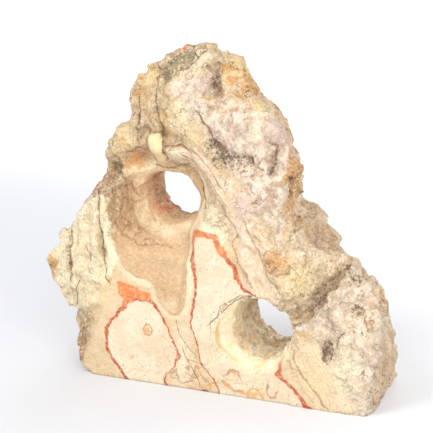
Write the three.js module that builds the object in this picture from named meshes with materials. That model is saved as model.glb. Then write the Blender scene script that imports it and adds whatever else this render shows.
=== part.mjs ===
import * as THREE from "three";

// Aquascaping rock: one solid stone shaped like a rough mountain, with two holes through it.
// X runs along the flat front panel, Y goes from the front to the back, Z is up, all in mm.
// A depth is the Y of a front surface, so a smaller depth stands further forward.

// Surface grid, with the base plane halfway up its layer of base cells
const CELL = 5.05;
const BASE_LAYER = 1;
const GRID_LOW = [-118, -22, -(BASE_LAYER + 0.5) * CELL];
const GRID_HIGH = [118, 86, 208];
const PULL_STEPS = 3;
const FILLED = -0.1;

// Overall slab
const FRONT_PLANE = 8;
const BACK_PLANE = 42;
const FURTHEST_MORPH = 1.25;
const OPEN_FRONT_DEPTH = 14;
const FRONT_LEAN = 0.08;
const MIDDLE_BACK_DEPTH = 58;
const BACK_LEAN = 0.07;
const FRONT_EDGE_ROUND = 4.5;
const BACK_EDGE_ROUND = 14;
const PLATE_BLEND = 3;

// Outline of the stone near its front, from the left foot over the crown to the right foot
const FRONT_OUTLINE = [
  [-66, -12], [-69, 0], [-80, 10], [-87, 30], [-100, 36], [-105, 46], [-106, 58], [-104, 68],
  [-100, 77], [-89, 87], [-78, 98], [-70, 107], [-72, 118], [-63, 129], [-61, 141], [-48, 149],
  [-50, 162], [-43, 178], [-32, 185], [-26, 191], [-15, 193], [-8, 198], [0, 196], [10, 193],
  [22, 193], [26, 188], [26, 178], [29, 171], [34, 168], [40, 162], [47, 157], [52, 148],
  [53, 112], [55, 103], [61, 96], [73, 86], [88, 89], [97, 80], [104, 70], [108, 59], [104, 40],
  [103, 16], [104, 0], [103, -12],
];

// Outline of the stone near its back
const BACK_OUTLINE = [
  [-64, -12], [-68, 0], [-78, 14], [-78, 30], [-88, 42], [-94, 60], [-88, 76], [-74, 92],
  [-66, 108], [-60, 126], [-54, 142], [-47, 160], [-39, 174], [-27, 184], [-13, 189], [-1, 188],
  [10, 186], [13, 179], [19, 169], [26, 162], [35, 153], [40, 146], [47, 132], [48, 120],
  [47, 107], [55, 101], [64, 92], [69, 83], [76, 77], [85, 68], [91, 60], [101, 52], [102, 30],
  [101, -12],
];

const PANEL = [
  [-74, -20], [-74, 6], [-62, 40], [-58, 62], [-55, 85], [-52, 104], [-40, 112], [-20, 112],
  [-4, 104], [6, 100], [20, 92], [28, 84], [30, 72], [44, 58], [56, 46], [55, 30], [60, 17],
  [70, 7], [82, -3], [84, -20],
];
const MASS = [
  [-20, 190], [-19, 170], [-12, 158], [-2, 146], [6, 138], [17, 122], [31, 107], [38, 94],
  [46, 82], [54, 68], [60, 72], [57, 86], [54, 98], [52, 112], [52, 132], [51, 150], [45, 164],
  [38, 170], [20, 172], [8, 176], [-2, 184],
];
const FLANK = [
  [-104, 62], [-88, 86], [-72, 100], [-62, 110], [-55, 108], [-54, 92], [-53, 80], [-57, 60],
  [-63, 44], [-76, 38], [-88, 38], [-100, 50],
];
const TOE = [[-84, 32], [-68, 40], [-60, 32], [-60, -12], [-76, -12], [-84, 12]];
const BLOCK = [[-62, 130], [-62, 144], [-48, 151], [-40, 146], [-40, 135], [-46, 129]];
const RIB = [[-42, 176], [-38, 180], [-27, 188], [-26, 167], [-25, 146], [-31, 142], [-38, 150]];
const CROWN = [[-22, 192], [-8, 198], [6, 194], [4, 184], [-2, 180], [-12, 184], [-22, 184]];
const CROWN_BLOCK = [[12, 192], [22, 192], [26, 186], [31, 174], [32, 168], [23, 166], [13, 168]];
const LOBE = [
  [57, -20], [57, 34], [60, 46], [68, 54], [78, 64], [86, 74], [93, 86], [98, 84], [104, 70],
  [106, 50], [104, 20], [100, -20],
];
const SHOULDER = [
  [52, 56], [54, 74], [56, 95], [63, 106], [72, 100], [84, 90], [92, 90], [84, 76], [74, 64],
  [62, 54],
];
const BOWL = [
  [-50, 128], [-54, 107], [-54, 93], [-52, 81], [-48, 74], [-42, 71], [-37, 64], [-25, 60],
  [-22, 51], [-16, 43], [-10, 46], [-8, 60], [-9, 76], [-8, 91], [-4, 101], [2, 110], [0, 120],
  [-6, 127], [-20, 129], [-34, 134], [-46, 133],
];
const TAN_BAND = [
  [-20, 135], [-5, 145], [6, 138], [16, 121], [31, 106], [38, 93], [46, 81], [52, 66], [38, 59],
  [28, 69], [25, 83], [19, 99], [9, 112], [1, 123], [-6, 131],
];
const NUB = [[-35, 141], [-31, 146], [-24, 145], [-23, 137], [-27, 129], [-34, 130]];
const SHELL = [[57, 27], [61, 36], [71, 41], [80, 30], [88, 17], [94, 4], [80, -8], [66, 2]];

// Flattish areas of the front: depth at a point, how it leans along X and Z, fall past its edge
const PLATES = [
  { outline: PANEL, depth: 0, at: [0, 0], lean: [0, 0.022], fall: 1.0, wander: 0.35 },
  { outline: MASS, depth: -6.5, at: [40, 80], lean: [0.06, 0.15], fall: 0.52, wander: 1 },
  { outline: FLANK, depth: 0, at: [-56, 70], lean: [-0.3, 0.02], fall: 2.2, wander: 1 },
  { outline: TOE, depth: 1.5, at: [-62, 10], lean: [-0.5, 0.02], fall: 1.8, wander: 1 },
  { outline: BLOCK, depth: 8, at: [-42, 140], lean: [-0.3, 0.06], fall: 1.5, wander: 1 },
  { outline: RIB, depth: 8, at: [-28, 150], lean: [-0.2, 0.12], fall: 1.2, wander: 1 },
  { outline: CROWN, depth: 13, at: [-8, 185], lean: [0.02, 0.6], fall: 0.9, wander: 1 },
  { outline: CROWN_BLOCK, depth: 8, at: [20, 170], lean: [0.12, 0.22], fall: 1.4, wander: 1 },
  { outline: LOBE, depth: -0.5, at: [70, 10], lean: [-0.01, 0.03], fall: 0.9, wander: 1 },
  { outline: SHOULDER, depth: 5, at: [58, 62], lean: [0.3, 0.26], fall: 1.3, wander: 1 },
  { outline: NUB, depth: 7, at: [-29, 137], lean: [-0.15, 0.1], fall: 1.8, wander: 0.3 },
];

// The bowl below the upper hole gets deeper in steps, each from one height to another
const BOWL_START_DEPTH = 4;
const BOWL_WALL = 1.5;
const BOWL_STEPS = [
  { from: 55, to: 76, depth: 4 },
  { from: 74, to: 87, depth: 8 },
  { from: 88, to: 110, depth: 4 },
];

// Clefts in the front: the line they follow, half their width and their depth
const GROOVES = [
  { path: [[-2, 157], [10, 143], [16, 136], [31, 136]], width: 3.4, depth: 3.5 },
  { path: [[-24, 190], [-24, 160], [-21, 146], [-12, 142]], width: 3.4, depth: 4 },
  { path: [[-38, 176], [-39, 160], [-36, 146]], width: 3.2, depth: 4 },
  { path: [[-62, 112], [-61, 97], [-60, 83], [-58, 66]], width: 2.6, depth: 3 },
  { path: [[-79, 90], [-81, 74], [-83, 59]], width: 2.8, depth: 3.2 },
  { path: [[-70, 98], [-71, 80], [-73, 46]], width: 2.8, depth: 2.2 },
  { path: [[4, 184], [8, 176], [8, 168]], width: 4, depth: 6.5 },
  { path: [[47, 146], [46, 139], [43, 131]], width: 2.8, depth: 3 },
  { path: [[57, 52], [67, 60], [75, 69], [82, 79]], width: 3.4, depth: 5 },
  { path: [[54, 45], [65, 50], [75, 60], [84, 75], [88, 82]], width: 1.8, depth: -2.4 },
  { path: [[-57, 122], [-53, 110], [-51, 98], [-46, 88], [-38, 81], [-30, 80]], width: 3, depth: 5 },
  { path: [[-50, 112], [-44, 103], [-39, 109]], width: 2.4, depth: 2.2 },
  { path: [[-39, 108], [-38, 99], [-32, 92]], width: 2.6, depth: 2.6 },
  { path: [[8, 170], [20, 167], [32, 167]], width: 2.8, depth: 3 },
  { path: [[81, 34], [80, 44], [76, 54]], width: 3.2, depth: 3 },
  { path: [[-46, 127], [-42, 131]], width: 4.5, depth: 5 },
  { path: [[27, 69], [19, 80], [24, 92], [16, 104], [4, 116]], width: 2.8, depth: 1.6 },
];

// Rounded swellings of the front: centre, half widths and height
const SWELLINGS = [
  { at: [19, 33], half: [8, 12], height: -3 },
  { at: [-43, 95], half: [4, 8], height: 3 },
  { at: [-44, 110], half: [5, 6], height: 3 },
  { at: [-47, 122], half: [6, 5], height: 4 },
  { at: [-26, 76], half: [16, 6], height: 2.5 },
  { at: [47, 80], half: [8, 7], height: 3.5 },
  { at: [94, 84], half: [7, 5], height: 3 },
  { at: [-100, 66], half: [6, 7], height: 3 },
  { at: [92, 40], half: [16, 24], height: 4 },
  { at: [76, 24], half: [16, 16], height: 2 },
  { at: [30, 152], half: [16, 12], height: 3 },
  { at: [-10, 168], half: [10, 10], height: 2.5 },
  { at: [36, 120], half: [10, 14], height: 2 },
  { at: [70, 86], half: [12, 10], height: 2 },
  { at: [-76, 76], half: [7, 22], height: 2.5 },
  { at: [-66, 88], half: [4, 20], height: 2 },
];

// Swellings and dips of the back
const BACK_SWELLINGS = [
  { at: [-48, 30], half: [34, 30], height: 11 },
  { at: [66, 26], half: [38, 34], height: 15 },
  { at: [6, 4], half: [44, 20], height: 7 },
  { at: [12, 146], half: [30, 30], height: 8 },
  { at: [-42, 106], half: [18, 26], height: 5 },
  { at: [28, 96], half: [20, 24], height: -8 },
  { at: [-20, 62], half: [22, 16], height: -6 },
  { at: [-14, 158], half: [12, 22], height: -4 },
];
const BACK_LEDGE_RISE = 5;
const BACK_SHELF_RISE = 4;

// The two holes: the line round their core, radius about it, and how their mouths open out
const HOLES = [
  {
    core: [[27, 40], [30, 46], [38, 47], [44, 44], [45, 38], [40, 31], [33, 29], [28, 33]],
    radius: 9.5,
    frontFlare: 3.2,
    flareTo: 14,
    backFlare: 5,
    backFrom: 46,
    backTo: 70,
  },
  {
    core: [[-31, 112], [-26, 113], [-19, 113], [-16, 108], [-16, 103], [-22, 101], [-30, 105]],
    radius: 8.5,
    frontFlare: 3,
    flareTo: 26,
    backFlare: 4,
    backFrom: 40,
    backTo: 58,
  },
];
const HOLE_EDGE_ROUND = 2;
const HOLE_WANDER = 1.1;
const HOLE_GRAIN = 11;

// How much of the rough relief an area of the front keeps
const SMOOTHED_AREAS = [
  { outline: PANEL, keeps: 0.07 },
  { outline: BOWL, keeps: 0.2 },
  { outline: TAN_BAND, keeps: 0.4 },
  { outline: SHELL, keeps: 0.3 },
  { outline: MASS, keeps: 0.75 },
  { outline: LOBE, keeps: 0.75 },
];
const SMOOTHED_FROM = 16;
const SMOOTHED_TO = 30;

/** Number from 0 to 4294967295 that belongs to one corner of the noise grid. */
function cornerNumber(i, j, k, seed) {
  let h = Math.imul(i, 374761393) + Math.imul(j, 668265263);
  h += Math.imul(k, 2246822519) + Math.imul(seed, 3266489917);
  h = Math.imul(h ^ (h >>> 13), 1274126177);
  h = Math.imul(h ^ (h >>> 16), 2654435769);
  return (h ^ (h >>> 15)) >>> 0;
}

/** Slope of the noise at one corner, taken along the offset from that corner. */
function cornerSlope(i, j, k, seed, dx, dy, dz) {
  const h = cornerNumber(i, j, k, seed);
  const slopeX = (h & 1023) / 511.5 - 1;
  const slopeY = ((h >>> 10) & 1023) / 511.5 - 1;
  const slopeZ = ((h >>> 20) & 1023) / 511.5 - 1;
  return slopeX * dx + slopeY * dy + slopeZ * dz;
}

/** Smooth noise of about -1 to 1 that is the same on every run. */
function noise(x, y, z, seed) {
  const i = Math.floor(x);
  const j = Math.floor(y);
  const k = Math.floor(z);
  const u = x - i;
  const v = y - j;
  const w = z - k;
  const [eu, ev, ew] = [u, v, w].map((t) => t * t * t * (t * (t * 6 - 15) + 10));
  let total = 0;
  for (const a of [0, 1]) {
    for (const b of [0, 1]) {
      for (const c of [0, 1]) {
        const share = (a ? eu : 1 - eu) * (b ? ev : 1 - ev) * (c ? ew : 1 - ew);
        total += share * cornerSlope(i + a, j + b, k + c, seed, u - a, v - b, w - c);
      }
    }
  }
  return 1.7 * total;
}

/** Larger of two values with a rounded change from one to the other. */
function smoothMax(a, b, width) {
  const overlap = Math.max(width - Math.abs(a - b), 0) / width;
  return Math.max(a, b) + overlap * overlap * width * 0.25;
}

/** Smaller of two values with a rounded change from one to the other. */
function smoothMin(a, b, width) {
  return -smoothMax(-a, -b, width);
}

/** Eased step from 0 to 1 between two limits. */
function ease(from, to, value) {
  const t = Math.min(Math.max((value - from) / (to - from), 0), 1);
  return t * t * (3 - 2 * t);
}

/** Squared distance in the front plane from a point to the piece of line from a to b. */
function squaredToSegment(x, z, [ax, az], [bx, bz]) {
  const ex = bx - ax;
  const ez = bz - az;
  const along = ((x - ax) * ex + (z - az) * ez) / (ex * ex + ez * ez);
  const t = Math.min(Math.max(along, 0), 1);
  return (x - ax - ex * t) ** 2 + (z - az - ez * t) ** 2;
}

/** Distance to a closed outline, negative inside it. */
function outlineDistance(outline, x, z) {
  let nearest = Infinity;
  let inside = false;
  let a = outline[outline.length - 1];
  for (const b of outline) {
    nearest = Math.min(nearest, squaredToSegment(x, z, a, b));
    const crosses = (a[1] > z) !== (b[1] > z);
    if (crosses && x < a[0] + ((z - a[1]) * (b[0] - a[0])) / (b[1] - a[1])) inside = !inside;
    a = b;
  }
  return inside ? -Math.sqrt(nearest) : Math.sqrt(nearest);
}

/** Distance to an open line. */
function pathDistance(path, x, z) {
  let nearest = Infinity;
  for (let i = 1; i < path.length; i += 1) {
    nearest = Math.min(nearest, squaredToSegment(x, z, path[i - 1], path[i]));
  }
  return Math.sqrt(nearest);
}

/** Height of a rounded swelling at a point. */
function swell({ at, half, height }, x, z) {
  return height * Math.exp(-(((x - at[0]) / half[0]) ** 2) - ((z - at[1]) / half[1]) ** 2);
}

/** Sideways wander that keeps edges from running straight. */
function wander(x, z, seed, coarse, fine) {
  const broad = noise(x / coarse, seed, z / coarse, seed);
  const narrow = noise(x / fine, seed, z / fine, seed + 1);
  return 2.2 * broad + 1.1 * narrow;
}

/** Depth of the floor of the bowl before its walls. */
function bowlFloor(x, z, shift) {
  return BOWL_STEPS.reduce(
    (depth, step) => depth + step.depth * ease(step.from, step.to, z + 0.12 * (x + 30) + shift),
    BOWL_START_DEPTH,
  );
}

/** Depth of the front surface. */
function frontDepth(x, z) {
  const shiftX = wander(x, z, 11, 13, 6);
  const shiftZ = wander(x, z, 13, 13, 6);
  let depth = OPEN_FRONT_DEPTH + FRONT_LEAN * z;
  for (const plate of PLATES) {
    const px = x + plate.wander * shiftX;
    const pz = z + plate.wander * shiftZ;
    const past = Math.max(outlineDistance(plate.outline, px, pz), 0);
    const flat = plate.depth + (x - plate.at[0]) * plate.lean[0] + (z - plate.at[1]) * plate.lean[1];
    depth = smoothMin(depth, flat + plate.fall * past, PLATE_BLEND);
  }
  const bowlEdge = outlineDistance(BOWL, x + 0.4 * shiftX, z + 0.4 * shiftZ);
  const bowl = bowlFloor(x, z, shiftZ) - BOWL_WALL * Math.max(bowlEdge + PLATE_BLEND, 0);
  depth = smoothMax(depth, bowl, PLATE_BLEND);
  for (const groove of GROOVES) {
    const off = pathDistance(groove.path, x + 0.8 * shiftX, z + 0.8 * shiftZ);
    depth += groove.depth * Math.exp(-((off / groove.width) ** 2));
  }
  for (const swelling of SWELLINGS) depth -= swell(swelling, x + shiftX, z + shiftZ);
  return depth;
}

/** Depth of the back surface. */
function backDepth(x, z) {
  const bx = x + 3 * noise(x / 18, 2, z / 18, 15);
  const bz = z + 3 * noise(x / 18, 5, z / 18, 16);
  let depth = MIDDLE_BACK_DEPTH - BACK_LEAN * z;
  for (const swelling of BACK_SWELLINGS) depth += swell(swelling, bx, bz);
  const ledge = ease(-4, 4, bx - 0.55 * (bz - 100) - 22) * ease(60, 90, bz);
  const shelf = ease(-3, 3, bz - 50 - 0.2 * bx) * ease(-30, -60, bx);
  return depth + BACK_LEDGE_RISE * ledge - BACK_SHELF_RISE * shelf;
}

/** Share of the rough relief that is kept at a point. */
function roughness(x, y, z) {
  let kept = 1;
  for (const area of SMOOTHED_AREAS) {
    const outside = ease(-3, 3, outlineDistance(area.outline, x, z));
    kept = Math.min(kept, area.keeps + (1 - area.keeps) * outside);
  }
  const front = ease(SMOOTHED_TO, SMOOTHED_FROM, y);
  return 1 - (1 - kept) * front;
}

/** Lumps and sharp creases over the stone, and upright layers on the left flank. */
function relief(x, y, z) {
  const a = 0.8 * y + 0.6 * z;
  const b = -0.8 * x + 0.36 * y - 0.48 * z;
  const c = -0.6 * x - 0.48 * y + 0.64 * z;
  const broad = noise(a / 24, b / 24, c / 24, 51);
  const crease = 0.35 - 1.7 * Math.abs(noise(a / 12.5, b / 12.5, c / 12.5, 52));
  const small = noise(a / 6, b / 6, c / 6, 53);
  const flank = ease(-50, -58, x) * ease(126, 100, z) * ease(46, 20, y);
  const layers = noise((x + 0.12 * z) / 5.2, y / 9, z / 42, 54);
  return roughness(x, y, z) * (2.6 * broad + 1.9 * crease + 0.8 * small + 1.1 * flank * layers);
}

/** Distance to one hole, negative inside it. */
function holeDistance(hole, x, y, z) {
  const opening = hole.frontFlare * ease(hole.flareTo, -2, y) + hole.backFlare * ease(hole.backFrom, hole.backTo, y);
  const uneven = HOLE_WANDER * noise(x / HOLE_GRAIN, y / HOLE_GRAIN, z / HOLE_GRAIN, 41);
  return outlineDistance(hole.core, x, z) - hole.radius - opening + uneven;
}

/** Value that is negative inside the stone and positive outside it. */
function stone(x, y, z) {
  const shiftX = wander(x, z, 21, 12, 5.5);
  const shiftZ = wander(x, z, 23, 12, 5.5);
  const front = outlineDistance(FRONT_OUTLINE, x + shiftX, z + shiftZ);
  const back = outlineDistance(BACK_OUTLINE, x + shiftX, z + shiftZ);
  const along = (y - FRONT_PLANE) / (BACK_PLANE - FRONT_PLANE);
  const morph = Math.min(Math.max(along, 0), FURTHEST_MORPH);
  const side = front * (1 - morph) + back * morph;
  let value = smoothMax(side, frontDepth(x, z) - y, FRONT_EDGE_ROUND);
  value = smoothMax(value, y - backDepth(x, z), BACK_EDGE_ROUND);
  value -= relief(x, y, z);
  for (const hole of HOLES) value = smoothMax(value, -holeDistance(hole, x, y, z), HOLE_EDGE_ROUND);
  return value;
}

/** Values of the stone at every corner of the surface grid, with nothing below the base. */
function sampleGrid() {
  const counts = GRID_HIGH.map((high, axis) => Math.ceil((high - GRID_LOW[axis]) / CELL) + 1);
  const [nx, ny, nz] = counts;
  const values = new Float64Array(nx * ny * nz).fill(CELL);
  for (let i = 0; i < nx; i += 1) {
    for (let j = 0; j < ny; j += 1) {
      for (let k = BASE_LAYER + 1; k < nz; k += 1) {
        const point = [i, j, k].map((n, axis) => GRID_LOW[axis] + n * CELL);
        values[(i * ny + j) * nz + k] = stone(...point);
      }
    }
  }
  return { counts, values };
}

/** Corner to fill where two insides of a grid square meet only across it, or -1. */
function pinchedCorner(values, [a, b, c, d]) {
  const inside = [a, b, c, d].map((corner) => values[corner] < 0);
  if (inside[0] !== inside[2] || inside[1] !== inside[3] || inside[0] === inside[1]) return -1;
  const [first, second] = inside[0] ? [b, d] : [a, c];
  return values[first] < values[second] ? first : second;
}

/** Fills the corners where the stone would touch itself along a single edge. */
function fillPinches({ counts, values }) {
  const [nx, ny, nz] = counts;
  const strides = [ny * nz, nz, 1];
  let filled = 0;
  for (let i = 0; i < nx - 1; i += 1) {
    for (let j = 0; j < ny - 1; j += 1) {
      for (let k = BASE_LAYER + 1; k < nz - 1; k += 1) {
        const corner = (i * ny + j) * nz + k;
        for (const axis of [0, 1, 2]) {
          const p = strides[(axis + 1) % 3];
          const q = strides[(axis + 2) % 3];
          const pinched = pinchedCorner(values, [corner, corner + p, corner + p + q, corner + q]);
          if (pinched < 0) continue;
          values[pinched] = FILLED;
          filled += 1;
        }
      }
    }
  }
  return filled;
}

/** Moves a point towards the surface of the stone, along X and Y only when it is on the base. */
function pullToSurface(point, onBase) {
  const reach = 0.4;
  const limit = 0.35 * CELL;
  let [x, y, z] = point;
  for (let step = 0; step < PULL_STEPS; step += 1) {
    const value = stone(x, y, z);
    const slope = [
      stone(x + reach, y, z) - stone(x - reach, y, z),
      stone(x, y + reach, z) - stone(x, y - reach, z),
      onBase ? 0 : stone(x, y, z + reach) - stone(x, y, z - reach),
    ].map((difference) => difference / (2 * reach));
    const steepness = Math.max(slope[0] ** 2 + slope[1] ** 2 + slope[2] ** 2, 0.3);
    const move = Math.min(Math.max(value / steepness, -limit), limit);
    x -= move * slope[0];
    y -= move * slope[1];
    z -= move * slope[2];
  }
  const shift = Math.hypot(x - point[0], y - point[1], z - point[2]);
  const kept = Math.min(1, (0.45 * CELL) / Math.max(shift, 1e-9));
  return [x, y, z].map((value, axis) => point[axis] + (value - point[axis]) * kept);
}

/** Places where the surface crosses the edges of one grid cell, in cell units. */
function edgeCrossings(grid, i, j, k) {
  const [, ny, nz] = grid.counts;
  const at = (a, b, c) => grid.values[((i + a) * ny + j + b) * nz + k + c];
  const crossings = [];
  for (const axis of [0, 1, 2]) {
    const [second, third] = [0, 1, 2].filter((other) => other !== axis);
    for (const [p, q] of [[0, 0], [0, 1], [1, 0], [1, 1]]) {
      const low = [0, 0, 0];
      low[second] = p;
      low[third] = q;
      const high = [...low];
      high[axis] = 1;
      const [start, end] = [at(...low), at(...high)];
      if (start < 0 === end < 0) continue;
      low[axis] = start / (start - end);
      crossings.push(low);
    }
  }
  return crossings;
}

/** Point of the surface for one grid cell, or null where the surface misses the cell. */
function cellPoint(grid, cell) {
  const crossings = edgeCrossings(grid, ...cell);
  if (crossings.length === 0) return null;
  const point = cell.map((n, axis) => {
    const middle = crossings.reduce((sum, crossing) => sum + crossing[axis], 0) / crossings.length;
    return GRID_LOW[axis] + CELL * (n + middle);
  });
  const onBase = cell[2] === BASE_LAYER;
  if (!onBase) return pullToSurface(point, false);
  point[2] = 0;
  const insideBase = crossings.length === 4 && crossings.every(([a, b]) => a % 1 === 0 && b % 1 === 0);
  return insideBase ? point : pullToSurface(point, true);
}

/** One point for each grid cell that the surface passes through. */
function placePoints(grid) {
  const [nx, ny, nz] = grid.counts;
  const points = [];
  const numberOf = new Map();
  for (let i = 0; i < nx - 1; i += 1) {
    for (let j = 0; j < ny - 1; j += 1) {
      for (let k = BASE_LAYER; k < nz - 1; k += 1) {
        const point = cellPoint(grid, [i, j, k]);
        if (!point) continue;
        numberOf.set((i * ny + j) * nz + k, points.length);
        points.push(point);
      }
    }
  }
  return { points, numberOf };
}

/** Two triangles for a four-sided patch, split along its shorter diagonal. */
function splitPatch(corners, points) {
  const [a, b, c, d] = corners;
  const apart = (m, n) => Math.hypot(...points[m].map((value, axis) => value - points[n][axis]));
  return apart(a, c) < apart(b, d) ? [a, b, c, a, c, d] : [a, b, d, b, c, d];
}

/** Triangles that join the points of the four cells round every crossed grid edge. */
function joinPoints(grid, points, numberOf) {
  const [nx, ny, nz] = grid.counts;
  const strides = [ny * nz, nz, 1];
  const triangles = [];
  for (let i = 1; i < nx - 1; i += 1) {
    for (let j = 1; j < ny - 1; j += 1) {
      for (let k = BASE_LAYER; k < nz - 1; k += 1) {
        const corner = (i * ny + j) * nz + k;
        for (const axis of [0, 1, 2]) {
          const start = grid.values[corner] < 0;
          if (start === grid.values[corner + strides[axis]] < 0) continue;
          const p = strides[(axis + 1) % 3];
          const q = strides[(axis + 2) % 3];
          const cells = [corner - p - q, corner - q, corner, corner - p];
          const patch = cells.map((cell) => numberOf.get(cell));
          triangles.push(...splitPatch(start ? patch : patch.reverse(), points));
        }
      }
    }
  }
  return triangles;
}

/** The stone as a closed surface, with the middle of its box over the origin. */
function buildStone() {
  const grid = sampleGrid();
  while (fillPinches(grid) > 0);
  const { points, numberOf } = placePoints(grid);
  const geometry = new THREE.BufferGeometry();
  geometry.setAttribute("position", new THREE.Float32BufferAttribute(points.flat(), 3));
  geometry.setIndex(joinPoints(grid, points, numberOf));
  geometry.computeBoundingBox();
  const middle = geometry.boundingBox.getCenter(new THREE.Vector3());
  geometry.translate(-middle.x, -middle.y, 0);
  geometry.computeVertexNormals();
  return geometry;
}

const rock = new THREE.Mesh(
  buildStone(),
  new THREE.MeshStandardMaterial({ color: "#e3cfae", roughness: 0.85, metalness: 0, flatShading: true }),
);
rock.name = "rock";

const group = new THREE.Group();
group.name = "aquascaping_rock";
group.add(rock);

export default group;
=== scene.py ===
"""Aquascaping rock: the finely worked stone, its colours, and the studio it is shown in.

The stone is an upright slab with a flat veined front panel, a bowl under an upper hole, a
second hole lower down, a rough main mass and a pitted lobe on the right. Its form follows the
same named outlines and depths as the solid in the frame, drawn on a finer grid, and its small
relief and markings are worked out point by point from listed lines.

Stone sizes are in millimetres until the mesh is made. X runs along the front panel, Y goes from
the front to the back and Z is up. A depth is the Y of a front surface.
"""

import itertools
import logging
import math
from dataclasses import dataclass, field
from enum import Enum
from typing import Sequence

import bpy
import mathutils
import numpy as np
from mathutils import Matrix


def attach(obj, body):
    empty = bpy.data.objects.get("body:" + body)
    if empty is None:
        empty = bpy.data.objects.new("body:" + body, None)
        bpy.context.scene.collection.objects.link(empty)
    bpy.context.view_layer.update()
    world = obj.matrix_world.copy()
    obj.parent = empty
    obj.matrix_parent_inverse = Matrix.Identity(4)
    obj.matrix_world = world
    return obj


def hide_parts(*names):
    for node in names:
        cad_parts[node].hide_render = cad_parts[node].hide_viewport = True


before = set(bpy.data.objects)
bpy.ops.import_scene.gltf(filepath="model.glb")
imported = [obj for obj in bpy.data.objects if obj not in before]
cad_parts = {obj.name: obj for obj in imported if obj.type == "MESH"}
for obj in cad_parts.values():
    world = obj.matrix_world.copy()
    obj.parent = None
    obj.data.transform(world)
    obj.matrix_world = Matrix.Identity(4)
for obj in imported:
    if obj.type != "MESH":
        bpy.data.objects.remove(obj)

LOG = logging.getLogger("aquascaping_rock")

Array = np.ndarray
Point = tuple[float, float]
Line = Sequence[Point]
Colour = tuple[float, float, float]

METRE = 0.001  # metres in one millimetre
FORM_MIDDLE = (2.99, 31.33)  # place in the stone's drawing that stands over the frame's origin
CHIP_CRISPNESS = 55.0  # how sharp the edges between neighbouring chips are
CHIP_TILT = 1.2  # how much the tilt of a chip adds to its height
CHIP_LEVEL = 0.35  # how much its own level adds
NOISE_GAIN = 1.7  # brings the noise to about -1 to 1
GRID_PRIMES = (374761393, 668265263, 2246822519)  # one for each axis of the noise grid
SEED_PRIME = 3266489917  # keeps noises with different seeds apart
MIX_PRIMES = (1274126177, 2654435769)  # these scatter the bits of a grid corner's number
PARTS = (0, 10, 20)  # bits at which the three values in such a number start
BROAD_WANDER = 2.2  # how far edges stray in long waves
FINE_WANDER = 1.1  # how far they stray in short waves
LONG_STRAY = (5, 0.7)  # size and height of the longer waves in which colours stray
FINE_STRAY = (2.4, 0.4)  # and of the shorter ones


# Arithmetic shared by the form, the relief and the markings


def corner_number(i: Array, j: Array, k: Array, seed: int) -> Array:
    """Gives the whole number that belongs to one corner of the noise grid.

    Args:
        i: Corner numbers along the first axis.
        j: Corner numbers along the second axis.
        k: Corner numbers along the third axis.
        seed: Which noise it is.

    Returns:
        Numbers from 0 to 4294967295.
    """
    with np.errstate(over="ignore"):
        mixed = np.uint32((seed * SEED_PRIME) & 0xFFFFFFFF)
        for corner, prime in zip((i, j, k), GRID_PRIMES):
            mixed = mixed + corner.astype(np.uint32) * np.uint32(prime)
        for shift, prime in zip((13, 16), MIX_PRIMES):
            mixed = (mixed ^ (mixed >> np.uint32(shift))) * np.uint32(prime)
    return mixed ^ (mixed >> np.uint32(15))


def ten_bits(number: Array, start: int) -> Array:
    """Gives the value from 0 to 1023 that starts at one bit of a corner's number."""
    return (number >> np.uint32(start)) & np.uint32(1023)


def noise(x: Array, y: Array, z: Array, seed: int) -> Array:
    """Gives smooth noise of about -1 to 1 that is the same on every run.

    Args:
        x: Places along the first axis, in cells of the noise.
        y: Places along the second axis.
        z: Places along the third axis.
        seed: Which noise it is.

    Returns:
        The noise at each place.
    """
    x, y, z = np.broadcast_arrays(x, y, z)
    i, j, k = (np.floor(value).astype(np.int64) for value in (x, y, z))
    u, v, w = x - i, y - j, z - k
    eased = [t * t * t * (t * (t * 6 - 15) + 10) for t in (u, v, w)]
    total = np.zeros(x.shape)
    for a, b, c in itertools.product((0, 1), repeat=3):
        number = corner_number(i + a, j + b, k + c, seed)
        slopes = [ten_bits(number, start) / 511.5 - 1 for start in PARTS]
        shares = [value if far else 1 - value for value, far in zip(eased, (a, b, c))]
        share = shares[0] * shares[1] * shares[2]
        total += share * (slopes[0] * (u - a) + slopes[1] * (v - b) + slopes[2] * (w - c))
    return NOISE_GAIN * total


def chips(x: Array, y: Array, z: Array, seed: int) -> Array:
    """Gives flat chips of about -1 to 1, each with its own tilt, one to a cell or so.

    Args:
        x: Places along the first axis, in cells.
        y: Places along the second axis.
        z: Places along the third axis.
        seed: Which chips they are.

    Returns:
        The height of the chips at each place.
    """
    i, j, k = (np.floor(value).astype(np.int64) for value in (x, y, z))
    height = np.zeros(x.shape)
    total = np.zeros(x.shape)
    for a, b, c in itertools.product((-1, 0, 1), repeat=3):
        place = corner_number(i + a, j + b, k + c, seed)
        turn = corner_number(i + a, j + b, k + c, seed + 1)
        level = ((turn >> np.uint32(30)) & np.uint32(3)) / 1.5 - 1
        squared = np.zeros(x.shape)
        slope = np.zeros(x.shape)
        for value, cell, start in zip((x, y, z), (i + a, j + b, k + c), PARTS):
            off = value - cell - ten_bits(place, start) / 1023
            squared += off * off
            slope += off * (ten_bits(turn, start) / 511.5 - 1)
        share = np.exp(-CHIP_CRISPNESS * squared)
        height += share * (CHIP_TILT * slope + CHIP_LEVEL * level)
        total += share
    return height / total


def smooth_max(a: Array, b: Array, width: float) -> Array:
    """Gives the larger of two values with a rounded change from one to the other.

    Args:
        a: First values.
        b: Second values.
        width: Difference below which the change is rounded.

    Returns:
        The rounded larger values.
    """
    overlap = np.maximum(width - np.abs(a - b), 0) / width
    return np.maximum(a, b) + overlap * overlap * width * 0.25


def smooth_min(a: Array, b: Array, width: float) -> Array:
    """Gives the smaller of two values with a rounded change, as smooth_max does."""
    return -smooth_max(-a, -b, width)


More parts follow.
